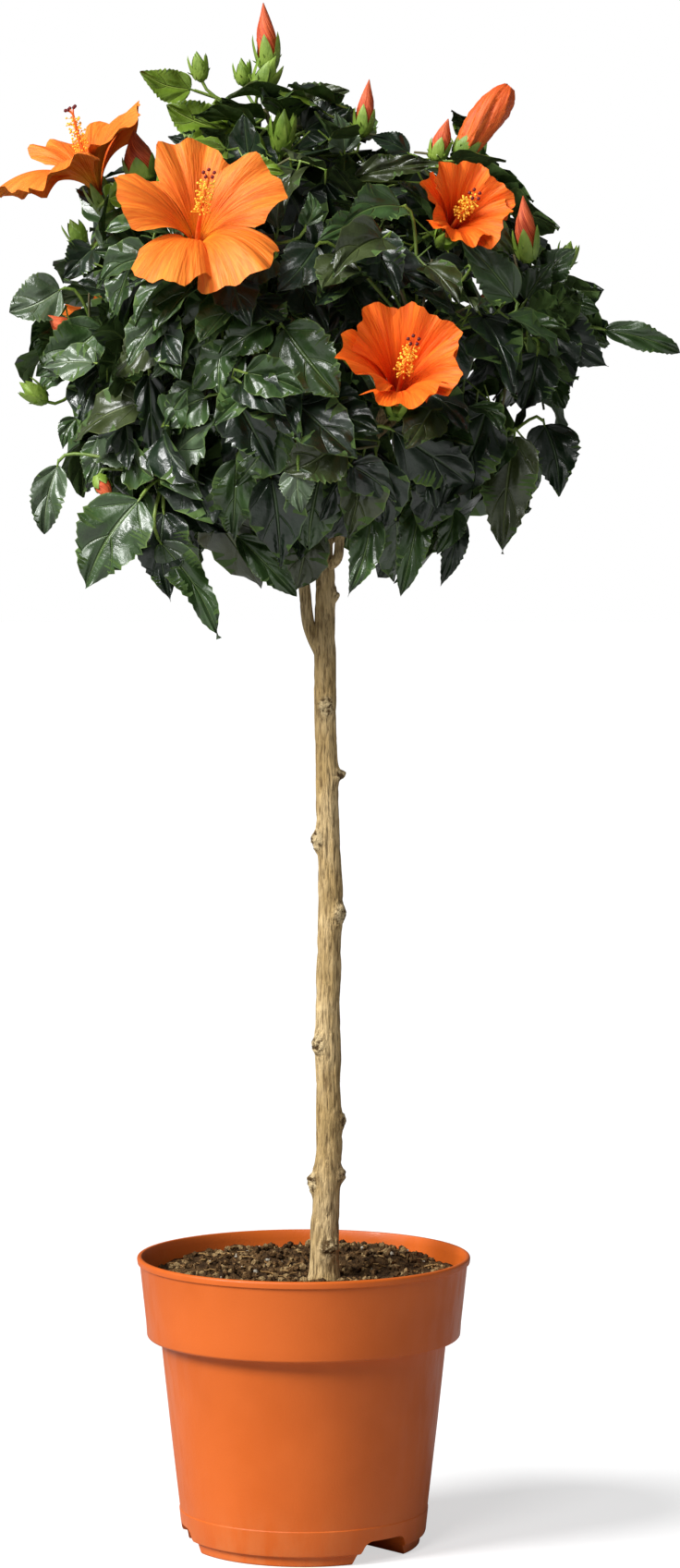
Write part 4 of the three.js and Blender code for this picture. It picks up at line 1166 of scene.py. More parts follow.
@dataclass
class NurseryPot:
    """The round tapered pot with its deep collar and three drainage channels."""

    steps: int = 128
    height: float = 165.0
    rim_radius: float = 95.0
    collar_radius: float = 89.6
    collar_bottom: float = 118.0
    body_top_radius: float = 81.5
    body_foot_radius: float = 69.6
    foot_radius: float = 66.3
    foot_step: float = 6.0
    band_height: float = 21.0
    wall: float = 1.8
    floor: float = 16.0
    channels: int = 3
    first_channel: float = -48.0
    channel_inner: float = 26.0
    channel_floor: float = 44.0
    channel_roof: float = 27.0
    channel_height: float = 13.0
    cutter_foot: float = -4.0
    channel_edge: float = 3.5
    hole_radius: float = 4.0
    hole_places: Pair = (38.0, 56.0)

    def body(self, level: float) -> float:
        """Radius of the body at a height."""
        share = (level - self.foot_step) / (self.collar_bottom - self.foot_step)
        return lerp(self.body_foot_radius, self.body_top_radius, share)

    def collar(self, level: float) -> float:
        """Radius of the collar at a height."""
        return lerp(self.collar_radius, self.rim_radius - 1.6, (level - 125.0) / 35.5)

    def outline(self) -> Outline:
        """Goes from the middle of the underside up to the rim, and inside down to the middle of the floor.

        Returns:
            Radius and height of each ring.
        """
        foot, step, body_foot, band = self.foot_radius, self.foot_step, self.body_foot_radius, self.band_height
        low, collar, rim, wall = self.collar_bottom, self.collar_radius, self.rim_radius, self.wall
        shoulder, top, floor = self.body_top_radius, self.height, self.floor
        return [
            (20.0, 0.0), (foot - 1.2, 0.0), *arc((foot - 1.2, 1.2), 1.2, -60, 0, 3),
            (foot + 0.4, step - 1.2), (foot + 0.6, step - 0.4), (body_foot - 1.2, step),
            (body_foot - 0.3, step + 0.5), (self.body(8.0), 8.0), (self.body(band - 0.5), band - 0.5),
            (self.body(band) - 0.45, band), (self.body(band + 3) - 0.4, band + 3), (self.body(70.0), 70.0),
            (self.body(low - 2), low - 2.0), (shoulder + 0.5, low - 0.2), (collar - 4.0, low + 0.4),
            *arc((collar - 2.0, low + 2.6), 1.8, -80, -4, 5),
            *((self.collar(level), level) for level in (126.5, 140.0, 159.0)),
            (rim - 1.4, 160.6), (rim - 0.3, 161.2), *arc((rim - 1.5, top - 1.5), 1.5, 0, 90, 5),
            (rim - 2.4, top - 0.2), (rim - 3.0, top - 1.2), (rim - 1.6 - wall, top - 5.0),
            (collar - wall, 125.0), (collar - wall - 3.0, low + wall + 1.0), (shoulder - wall, low + wall),
            (body_foot + 1.0 - wall, floor), (30.0, floor),
        ]

    def channel_cutter(self, bearing: float) -> Piece:
        """A tapered block with rounded upper edges, for one channel under the floor.

        Args:
            bearing: Bearing of the channel, in degrees.

        Returns:
            The block.
        """
        clear_selection()
        bpy.ops.mesh.primitive_cube_add(size=1.0)
        cutter = bpy.context.object
        bpy.ops.object.mode_set(mode="EDIT")
        shell = bmesh.from_edit_mesh(cutter.data)
        for vertex in shell.verts:
            upper = vertex.co.z > 0
            half = (self.channel_roof if upper else self.channel_floor) / 2
            vertex.co.y = math.copysign(half * MM, vertex.co.y)
            vertex.co.x = (self.rim_radius if vertex.co.x > 0 else self.channel_inner) * MM
            vertex.co.z = (self.channel_height if upper else self.cutter_foot) * MM
        for edge in shell.edges:
            high = all(vertex.co.z > 0 for vertex in edge.verts)
            edge.select_set(high and abs(edge.verts[0].co.x - edge.verts[1].co.x) > 0.01)
        bmesh.update_edit_mesh(cutter.data)
        bpy.ops.mesh.bevel(offset=self.channel_edge * MM, segments=4)
        bpy.ops.mesh.select_all(action="SELECT")
        bpy.ops.transform.rotate(value=-math.radians(bearing), orient_axis="Z", center_override=(0.0, 0.0, 0.0))
        bpy.ops.mesh.normals_make_consistent(inside=False)
        bpy.ops.object.mode_set(mode="OBJECT")
        return cutter

    def cut(self, pot: Piece, cutter: Piece) -> None:
        """Takes a cutter out of the pot and clears the cutter away.

        Args:
            pot: The pot.
            cutter: The block or bar.
        """
        pot.modifiers.new("Cut", "BOOLEAN").object = cutter
        clear_selection()
        pot.select_set(True)
        bpy.context.view_layer.objects.active = pot
        bpy.ops.object.modifier_apply(modifier="Cut")
        bpy.data.objects.remove(cutter)

    def build(self) -> None:
        """Makes the pot and dresses it."""
        pot = turned_piece("pot_body", self.outline(), self.steps)
        for number in range(self.channels):
            bearing = self.first_channel + number * 360.0 / self.channels
            self.cut(pot, self.channel_cutter(bearing))
            angle = math.radians(bearing)
            for distance in self.hole_places:
                across, along = distance * math.cos(angle) * MM, distance * math.sin(angle) * MM
                bpy.ops.mesh.primitive_cylinder_add(
                    vertices=24, radius=self.hole_radius * MM, depth=4.0 * MM,
                    location=(across, along, self.channel_height * MM))
                self.cut(pot, bpy.context.object)
        bpy.ops.object.shade_smooth_by_angle(angle=math.radians(32))
        pot.data.materials.append(PotFinish().make())
        settle(pot, ["pot"])


@dataclass
class PottingSoil:
    """Potting soil up to below the rim, with crumbs, fibres and perlite on it."""

    steps: int = 144
    edge: float = 89.5
    ring_step: float = 2.6
    crumbs: int = 1500
    chips: int = 260
    perlite: int = 70
    strewn_to: float = 87.0
    trunk_clear: float = 11.0

    def build(self) -> None:
        """Makes the soil and what lies on it."""
        walls = [(30.0, 16.3), (68.6, 16.3), (79.2, 118.5), (84.3, 121.4), (87.3, 125.5), (self.edge - 0.4, 146.0)]
        rings = [(radius, SOIL_LEVEL) for radius in np.arange(self.edge, 2.0, -self.ring_step)]
        soil = turned_piece("soil_body", walls + rings, self.steps)
        points = read_points(soil.data) / MM
        top = points[:, 2] > SOIL_LEVEL - 1
        points[top, 2] = self.surface(points[top, 0], points[top, 1])
        write_points(soil.data, points)
        bpy.ops.object.shade_smooth()
        soil.data.materials.append(GrainyFinish("soil", rgb(58, 40, 24), rgb(112, 84, 52)).make())
        settle(soil, ["soil"])
        self.strew()

    def surface(self, x: Array, y: Array) -> Array:
        """The level of the soil: higher at the back, with a heap, lumps and finer lumps.

        Args:
            x: Places from left to right.
            y: Places from front to back.

        Returns:
            The height at each place.
        """
        near = smoothstep(np.hypot(x - SOIL_FOOT_X, y), 12.0, 30.0)
        slope = smoothstep(y, -10.0, 80.0) * 5.0
        heap = 6.0 * np.exp(-((np.hypot(x - 36, y - 46) / 26) ** 2))
        lumps = np.sin(x * 0.13 + 0.7) * np.cos(y * 0.15) + np.sin(x * 0.31 + 1.3) * np.sin(y * 0.27)
        broad = lattice_noise((x + 100) / 5.0, (y + 100) / 5.0, 5, 64) * 1.3
        fine = lattice_noise((x + 100) / 2.4, (y + 100) / 2.4, 6, 128) * 0.8
        level = SOIL_LEVEL + slope + heap + 1.1 * lumps
        return lerp(SOIL_LEVEL, level, near) + (broad + fine) * (0.35 + 0.65 * near)

    def strew(self) -> None:
        """Lays crumbs, bark chips and perlite on the soil."""
        chance = np.random.default_rng(7)
        ball, faces = ball_shape()
        heap = MeshHeap()
        for number in range(self.crumbs + self.perlite):
            white = number >= self.crumbs
            place = self.spot(chance)
            size = chance.uniform(0.6, 1.3) if white else chance.uniform(0.6, 2.4)
            stretch = chance.uniform(0.6, 1.3, 3) * size
            wobble = 1 + chance.uniform(-0.22, 0.22, (len(ball), 1))
            points = ball * stretch * wobble + place + (0, 0, size * 0.3)
            heap.add((points, faces), 1 if white else int(chance.integers(0, 4) == 0) * 2)
        for _ in range(self.chips):
            place = self.spot(chance)
            heading = unit(chance.uniform(-1, 1, 3) * (1, 1, 0.15))
            half = chance.uniform(1.5, 5.0)
            path = np.array([place - heading * half, place + (0, 0, 0.6), place + heading * half]) + (0, 0, 0.5)
            heap.add(tube(path, chance.uniform(0.25, 0.7), 4), 3)
        finishes = (
            GrainyFinish("soil_crumbs", rgb(60, 42, 26), rgb(128, 96, 60)),
            GrainyFinish("perlite", rgb(236, 230, 214), rgb(206, 194, 168)),
            GrainyFinish("pale_crumbs", rgb(150, 120, 80), rgb(190, 160, 112)),
            GrainyFinish("bark_chips", rgb(140, 100, 56), rgb(196, 158, 104)),
        )
        settle(heap.piece("soil_crumbs", [finish.make() for finish in finishes], 40))

    def spot(self, chance: Dice) -> Array:
        """A random place on the soil, clear of the trunk.

        Args:
            chance: Random numbers.

        Returns:
            The place.
        """
        while True:
            x, y = chance.uniform(-88, 88, 2)
            if math.hypot(x, y) < self.strewn_to and math.hypot(x - SOIL_FOOT_X, y) > self.trunk_clear:
                return np.array([x, y, float(self.surface(np.array([x]), np.array([y]))[0])])


def ball_shape() -> Shape:
    """An icosahedron of radius 1.

    Returns:
        Its points and faces.
    """
    ball = bmesh.new()
    bmesh.ops.create_icosphere(ball, subdivisions=1, radius=1.0)
    points = np.array([vertex.co[:] for vertex in ball.verts])
    faces = np.array([[vertex.index for vertex in face.verts] for face in ball.faces])
    ball.free()
    return points, [faces]


# Leaves


@dataclass(frozen=True)
class BladeShape:
    """How one blade is cut and bent, in millimetres and radians."""

    length: float
    half: float
    droop: float
    fold: float
    wave: float = 0.1
    waves: float = 1.0
    phase: float = 0.0
    twist: float = 0.0
    taper: float = 1.0
    sway: float = 0.0
    tooth: float = 0.055
    thick: float = 0.8
    shoulder: float = 0.42

    def mesh(self, pose: Pose, stations: int, strips: int) -> tuple[Shape, Array]:
        """Bends the blade over its frame.

        Args:
            pose: Foot, direction and upper side of the blade.
            stations: Cells from foot to tip.
            strips: Cells from margin to margin.

        Returns:
            Points, faces of the upper and the lower side, and places on the pattern.
        """
        foot, along, face = (np.array(part, float) for part in pose)
        side = np.cross(face, along)
        t = np.linspace(0.006, 1.0, stations + 1)
        peak = self.shoulder / (self.shoulder + self.taper)
        full = peak**self.shoulder * (1 - peak) ** self.taper
        half = self.half * t**self.shoulder * np.maximum(1 - t, 0.0) ** self.taper / full + 0.2
        odd = np.where(np.arange(stations + 1) % 2 == 1, 1.0, -1.0)
        uneven = 1.0 + 0.7 * np.sin(t * 21 + self.phase * 9)
        toothed = smoothstep(t, 0.2, 0.45) * (1 - smoothstep(t, 0.9, 0.97))
        margin = half * (1 + odd * uneven * self.tooth * toothed)
        angle = self.droop * (t - 0.5)
        chord = (self.droop / 2) / math.sin(self.droop / 2) if abs(self.droop) > 0.01 else 1.0
        step = np.diff(t, prepend=0.0) * self.length * chord
        forward, down = np.cumsum(step * np.cos(angle)), np.cumsum(step * np.sin(angle))
        aside = self.sway * np.sin(np.pi * t)
        middle = foot + forward[:, None] * along - down[:, None] * face + aside[:, None] * side
        normal = np.sin(angle)[:, None] * along + np.cos(angle)[:, None] * face
        roll = (self.twist * (t - 0.35))[:, None]
        across = side * np.cos(roll) + normal * np.sin(roll)
        upper = normal * np.cos(roll) - side * np.sin(roll)
        s = np.linspace(-1.0, 1.0, strips + 1)[None]
        width = np.where(np.abs(s) > 0.99, margin[:, None], half[:, None])
        flat = s * width * math.cos(self.fold)
        sweep = FULL_TURN * (self.waves * t[:, None] + self.phase + np.where(s < 0, 0.41, 0.0))
        rise = np.abs(s) * half[:, None] * math.sin(self.fold)
        rise = rise + self.wave * np.abs(s) ** 1.25 * np.sin(sweep) * smoothstep(t, 0.0, 0.25)[:, None]
        top = middle[:, None] + flat[..., None] * across[:, None] + rise[..., None] * upper[:, None]
        keel = strips // 2
        under = top[1:-1, keel] - upper[1:-1] * self.thick
        numbers = np.arange(top.shape[0] * top.shape[1]).reshape(top.shape[:2])
        lower = numbers[:, [0, keel, strips]].copy()
        lower[1:-1, 1] = numbers.size + np.arange(len(under))
        places = np.stack(np.broadcast_arrays(t[:, None], s * 0.5 + 0.5), axis=-1)
        points = np.concatenate([top.reshape(-1, 3), under])
        spots = np.concatenate([places.reshape(-1, 2), places[1:-1, keel]])
        return (points, [grid_faces(numbers), grid_faces(lower)[:, ::-1]]), spots


TENT_FACES = np.array([[0, 3, 1], [1, 3, 2], [0, 1, 4], [1, 2, 4], [2, 3, 4], [3, 0, 4]])


@dataclass
class Blade:
    """A grown leaf: its frame, how long its stalk and blade are, and how it is placed."""

    frame: Pose
    stalk: float
    length: float
    half: float
    tone: Tone = DARK
    seed: int = 0
    named: bool = False

    def corners(self) -> Array:
        """The plain form's points.

        Returns:
            Root, sides, tip and keel.
        """
        root, along, face = self.frame
        side = face.cross(along)
        widest = self.stalk + self.length * 0.36
        spots = (
            (0.0, 0.0, 0.0), (widest, self.half, self.length * 0.06),
            (self.stalk + self.length, 0.0, -self.length * 0.05), (widest, -self.half, self.length * 0.06),
            (self.stalk * 0.8, 0.0, -0.96),
        )
        return np.array([root + along * a + side * b + face * c for a, b, c in spots])

    def plain(self) -> Shape:
        """Its plain form, which crossings are tested on."""
        return self.corners(), [TENT_FACES]

    def middle(self) -> Vector:
        """The middle of its blade."""
        root, along, _ = self.frame
        return root + along * (self.stalk + self.length) * 0.6


def solid_tree(shapes: Sequence[Shape]) -> BVHTree:
    """Makes a search tree.

    Args:
        shapes: The shapes whose faces it holds.

    Returns:
        The tree.
    """
    points: list = []
    faces: list = []
    for corners, groups in shapes:
        start = len(points)
        points.extend(corners.tolist())
        for group in groups:
            faces.extend((group + start).tolist())
    return BVHTree.FromPolygons(points, faces)


@dataclass
class Twig:
    """A stem, shoot or stalk, and the leaves that it may bear."""

    route: Route
    start: float
    end: float
    leaves: int
    leafy_to: float
    woody: bool
    solid: Shape = field(init=False)

    def __post_init__(self) -> None:
        """Keeps its plain form for the tests."""
        self.solid = tube(self.route.points([0, 0.25, 0.5, 0.75, 1]), np.linspace(self.start, self.end, 5), 4)


@dataclass(frozen=True)
class GrowthRule:
    """The rule that all masses grow by, and how far it is carried on to finer twigs."""

    stem: Pair = (2.1, 1.6)
    seats: int = 24
    seat_from: float = 0.2
    seat_to: float = 0.95
    seat_outward: float = 12.0
    candidates: int = 160
    search: float = 190.0
    shoots: int = 7
    shoot_radii: Pair = (0.95, 0.7)
    shoot_from: float = 0.5
    shoot_to: float = 0.86
    wall: float = 7.0
    shoot_leaves: int = 6
    bare_below: float = 0.3
    shortest: float = 40.0
    longest: float = 60.0
    stalk: float = 8.0
    half: float = 0.37
    draws: int = 50
    tests: int = 30
    roomy: float = 40.0
    reach: float = 1.03
    leafy_over: float = 24.0
    fine_shares: tuple[float, ...] = (0.4, 0.58, 0.76, 0.94)
    fine_length: Pair = (20.0, 32.0)
    fine_radii: Pair = (0.6, 0.45)
    fine_leaves: int = 3
    fine_size: float = 0.8
    fine_margin: float = -7.0


RULE = GrowthRule()


class Mass:
    """One mass of foliage: stem, shoots, stalks, leaves, and the finer twigs between them."""

    def __init__(self, index: int, wood: Wood, limbs: BVHTree) -> None:
        """Grows the stem.

        Args:
            index: Number of the mass.
            wood: The boughs that it stands on.
            limbs: Search tree of trunk and boughs.
        """
        self.index = index
        self.limbs = limbs
        self.middle = Vector(CELLS.middles[index])
        point, heading = wood.tips[list(MASSES)[index]]
        start = point + heading * GAP
        over = start + heading * (start - self.middle).length * 0.35
        self.stem = Twig(Route.bent(start, over, self.middle), *RULE.stem, 0, 0.0, True)
        self.shoots: list[Twig] = []
        self.stalks: list[Twig] = []
        self.fine: list[Twig] = []
        self.blades: list[Blade] = []
        self.others: list[Shape] = []
        self.blade_middles: list[Vector] = []
        self.blade_tree: BVHTree | None = None

    def note(self, solid: Shape, middle: Vector) -> None:
        """Keeps a new blade or flower for the tests of those that follow.

        Args:
            solid: Its plain form.
            middle: Its middle.
        """
        self.others.append(solid)
        self.blade_middles.append(middle)
        self.blade_tree = solid_tree(self.others)

    def seat_for(self, end: Vector) -> tuple[Vector, Vector]:
        """Finds the place on the stem from which a twig reaches its end best.

        Args:
            end: The twig's end.

        Returns:
            The place and how the twig leaves it.
        """
        shares = np.linspace(RULE.seat_from, RULE.seat_to, RULE.seats)
        points = self.stem.route.points(shares)
        costs = np.linalg.norm(points - np.array(end), axis=1) - shares * RULE.seat_outward
        best = int(np.argmin(costs))
        point = Vector(points[best])
        heading = self.stem.route.heading(float(shares[best])).lerp((end - point).normalized(), 0.6)
        return point, heading.normalized()

    def add_stalk(self, end: Vector, towards: Vector) -> None:
        """Grows a stalk from the stem.

        Args:
            end: Foot of the flower, bud or named leaf that it bears.
            towards: The way it ends.
        """
        point, _ = self.seat_for(end)
        reach = (end - point).length
        route = Route.bent(point, end - towards * min(reach * 0.4, 11.0), end + towards * 1.0)
        leaves = 3 if reach > RULE.leafy_over else 0
        self.stalks.append(Twig(route, RULE.shoot_radii[0], RULE.shoot_radii[0], leaves, 0.7, False))

    def add_flowers_and_buds(self) -> None:
        """Stalks of the flowers and buds in this space."""
        for bloom in (b for b in BLOOMS if CELLS.owner(b.throat) == self.index):
            axis = Vector(bloom.faces).normalized()
            throat = Vector(bloom.throat)
            self.add_stalk(throat - axis * CALYX_BELOW_THROAT, axis)
            self.note(Corolla(bloom).plain(), throat + axis * 20)
        for bud in (b for b in BUDS if CELLS.owner(b.foot) == self.index):
            foot, tip = Vector(bud.foot), Vector(bud.tip)
            self.add_stalk(foot, (tip - foot).normalized())
            path = np.array([foot.lerp(tip, share) for share in (0.0, 0.2, 0.55, 1.0)])
            self.note(tube(path, np.array([0.1, 0.9, 0.9, 0.1]) * bud.radius, 5), foot.lerp(tip, 0.5))

    def add_named_leaves(self) -> None:
        """Adds the leaves placed one by one whose feet are in this space."""
        for seed, row in ((seed + number, row) for rows, seed in NAMED_LEAVES for number, row in enumerate(rows)):
            if CELLS.owner(row[:3]) != self.index:
                continue
            foot, tip = Vector(row[:3]), Vector(row[3:6])
            pose = frame_along(foot, tip, Vector((0.0, -1.0, 0.3)), math.radians(sum(row[8:])))
            self.add_stalk(foot, pose[1])
            length = (tip - foot).length - 3
            blade = Blade(pose, 3.0, length, min(row[6], length * 0.55), row[7], seed, named=True)
            self.blades.append(blade)
            self.note(blade.plain(), foot.lerp(tip, 0.6))

    def clear(self, solid: Shape, others: Sequence[BVHTree | None]) -> bool:
        """Whether a shape crosses no limb and none of the others."""
        tree = solid_tree([solid])
        return not any(other and tree.overlap(other) for other in (self.limbs, *others))

    def add_shoots(self) -> None:
        """Grows shoots, each to the point farthest from all before, where they stay inside and cross nothing."""
        chance = chance_row(self.index * 613 + 3)
        candidates = []
        while len(candidates) < RULE.candidates:
            point = Vector((chance() - 0.5, chance() - 0.5, chance() - 0.5)) * RULE.search + self.middle
            spot = np.array(point)
            if not in_crown(spot, RULE.shoot_to) or in_crown(spot, RULE.shoot_from):
                continue
            if CELLS.depth(spot, self.index) > RULE.wall:
                candidates.append(spot)
        spots = np.array(candidates)
        space = np.linalg.norm(spots - self.stem.route.dense[0], axis=1)
        for _ in range(RULE.shoots):
            best = int(np.argmax(space))
            space = np.minimum(space, np.linalg.norm(spots - spots[best], axis=1))
            end = Vector(spots[best])
            point, heading = self.seat_for(end)
            route = Route.bent(point, point + heading * (end - point).length * 0.35, end)
            shoot = Twig(route, *RULE.shoot_radii, RULE.shoot_leaves, 0.96, True)
            inside = CELLS.depth(route.points([0, 0.5, 1]), self.index) >= SPACE_MARGIN + 1
            if inside and self.clear(shoot.solid, [self.blade_tree]):
                self.shoots.append(shoot)

    def draw_leaf(self, foot: Vector, heading: Vector, chance: Chance, size: float) -> Blade:
        """Draws one way a leaf could grow from a twig. Low leaves hang and high ones stand out.

        Args:
            foot: Its place on the twig.
            heading: The twig's direction there.
            chance: Random numbers.
            size: Its size as a share of the first leaves' size.

        Returns:
            The leaf.
        """
        height = min(1.0, max(-1.0, (foot.z - CROWN_MIDDLE.z) / CROWN_RADII.z))
        outward = (foot - CROWN_MIDDLE).normalized()
        around = turned(heading.cross(UP).normalized(), heading, chance() * FULL_TURN)
        along = around + outward * (0.35 + 0.5 * chance())
        along = (along + UP * (-lerp(0.9, 0.0, (height + 1) / 2) - 0.4 * chance())).normalized()
        length = lerp(RULE.shortest, RULE.longest, chance()) * size
        sunward = outward + UP * 0.55
        pose = frame_along(foot, foot + along, sunward, (chance() - 0.5) * 0.9)
        return Blade(pose, RULE.stalk * size, length, length * RULE.half)

    def grow_leaf(
        self, foot: Vector, heading: Vector, chance: Chance, others: BVHTree, size: float, margin: float
    ) -> None:
        """Grows the roomiest of a few leaves that crosses no wall, limb, twig or other leaf.

        Args:
            foot: Its place on the twig.
            heading: The twig's direction there.
            chance: Random numbers.
            others: Search tree of the other twigs.
            size: Its size as a share of the first leaves' size.
            margin: How far inside the space it stays.
        """
        ways = []
        for _ in range(RULE.draws):
            way = self.draw_leaf(foot, heading, chance, size)
            corners, middle = way.corners()[1:], way.middle()
            if CELLS.depth(corners, self.index) < margin or not in_crown(corners, RULE.reach):
                continue
            if in_the_way(corners):
                continue
            room = min([RULE.roomy, *((other - middle).length for other in self.blade_middles)])
            ways.append((room, way))
        ways.sort(key=lambda pair: -pair[0])
        for _, way in ways[: RULE.tests]:
            if not self.clear(way.plain(), [others, self.blade_tree]):
                continue
            way.seed = self.index * 1000 + len(self.blades)
            way.tone = tone_for(way, chance)
            self.blades.append(way)
            self.note(way.plain(), way.middle())
            return

    def grow_leaves(self, twigs: Sequence[Twig], first: int, size: float, margin: float) -> None:
        """Grows leaves along each twig, from its tip down. Fine twigs that bear none are dropped.

        Args:
            twigs: The twigs.
            first: Number of the first twig in the random rows.
            size: Size of the leaves as a share of the first leaves' size.
            margin: How far inside the space they stay.
        """
        for number, twig in enumerate(twigs):
            rest = [other.solid for other in (*self.shoots, *self.stalks) if other is not twig]
            others = solid_tree([self.stem.solid, *rest])
            before = len(self.blades)
            for leaf in range(twig.leaves - 1, -1, -1):
                share = lerp(RULE.bare_below, twig.leafy_to, leaf / (twig.leaves - 1))
                chance = chance_row(self.index * 104729 + (first + number) * 1009 + leaf * 31 + 5)
                self.grow_leaf(twig.route.at(share), twig.route.heading(share), chance, others, size, margin)
            if twig in self.fine and len(self.blades) == before:
                self.fine.remove(twig)

    def add_fine_twigs(self) -> None:
        """Grows short side twigs on all that bears leaves, turned outwards, for the leaves in between."""
        bearers = [*self.shoots, *(stalk for stalk in self.stalks if stalk.leaves), self.stem]
        for number, shoot in enumerate(bearers):
            for step, share in enumerate(RULE.fine_shares):
                chance = chance_row(self.index * 7919 + number * 101 + step * 13 + 1)
                foot, heading = shoot.route.at(share), shoot.route.heading(share)
                around = turned(heading.cross(UP).normalized(), heading, chance() * FULL_TURN)
                outward = (foot - CROWN_MIDDLE).normalized()
                way = (around + heading * 0.5 + outward * 0.3).normalized()
                end = foot + way * lerp(*RULE.fine_length, chance())
                if CELLS.depth(np.array(end), self.index) < 2 or not in_crown(np.array(end), 0.95):
                    continue
                route = Route.bent(foot, foot + way * 8 + heading * 3, end)
                self.fine.append(Twig(route, *RULE.fine_radii, RULE.fine_leaves, 1.0, False))

    def grow(self) -> None:
        """Grows everything in the mass."""
        self.add_flowers_and_buds()
        self.add_named_leaves()
        self.add_shoots()
        self.grow_leaves([*self.shoots, *self.stalks], 0, 1.0, SPACE_MARGIN)
        self.add_fine_twigs()
        self.grow_leaves(list(self.fine), 200, RULE.fine_size, RULE.fine_margin)


def in_the_way(corners: Array) -> bool:
    """Tells whether a leaf would cover a gap of sky, a flower's open mouth or a bud.

    Args:
        corners: The leaf's sides, tip and keel.

    Returns:
        Whether it would.
    """
    x, z = corners[:, 0], corners[:, 2]
    if any(np.min(np.hypot(x - gap[0], z - gap[1])) < gap[2] + SKY_MARGIN for gap in SKY_GAPS):
        return True
    spots = np.concatenate([corners, (corners[:1] + corners[2:3]) / 2])
    for bloom in BLOOMS:
        axis = np.array(Vector(bloom.faces).normalized())
        offsets = spots - np.array(bloom.throat, float)
        ahead = offsets @ axis
        aside = np.linalg.norm(offsets - ahead[:, None] * axis, axis=1)
        if np.any((ahead > 2.0) & (ahead < bloom.petal) & (aside < bloom.petal * 0.8)):
            return True
    for bud in BUDS:
        middle = (np.array(bud.foot) + np.array(bud.tip)) / 2
        near = np.hypot(spots[:, 0] - middle[0], spots[:, 2] - middle[2]) < bud.radius * 1.3 + 5.0
        if bud.foot[1] < 50 and np.any(near & (spots[:, 1] < middle[1] + 4)):
            return True
    return False


def tone_for(blade: Blade, chance: Chance) -> Tone:
    """Picks a leaf's tone: dark inside the crown and more often dark away from the left, as painted shade, now and
    then a painted sheen on the left, and now and then young near its top.

    Args:
        blade: The leaf.
        chance: Random numbers.

    Returns:
        The tone.
    """
    root, along, _ = blade.frame
    tip = root + along * (blade.stalk + blade.length)
    depth = Vector([a / b for a, b in zip(tip - CROWN_MIDDLE, CROWN_RADII)]).length
    young = 0.3 if tip.z > YOUNG_ABOVE else 0.0
    draw = chance()
    # Dark inside the crown is painted shade, and dark comes more often right of x = -20, away from the light, as
    # painted shade too.
    if depth < 0.8 or draw < (0.3 if tip.x < -20 else 0.5):
        return DARK
    if draw > 1 - young:
        return YOUNG
    # Painted sheen only left of x = -20, the side the light comes from.
    if tip.x < -20 and draw > 0.85 - young:
        return PALE
    return OLIVE if draw > 0.8 - young else MID


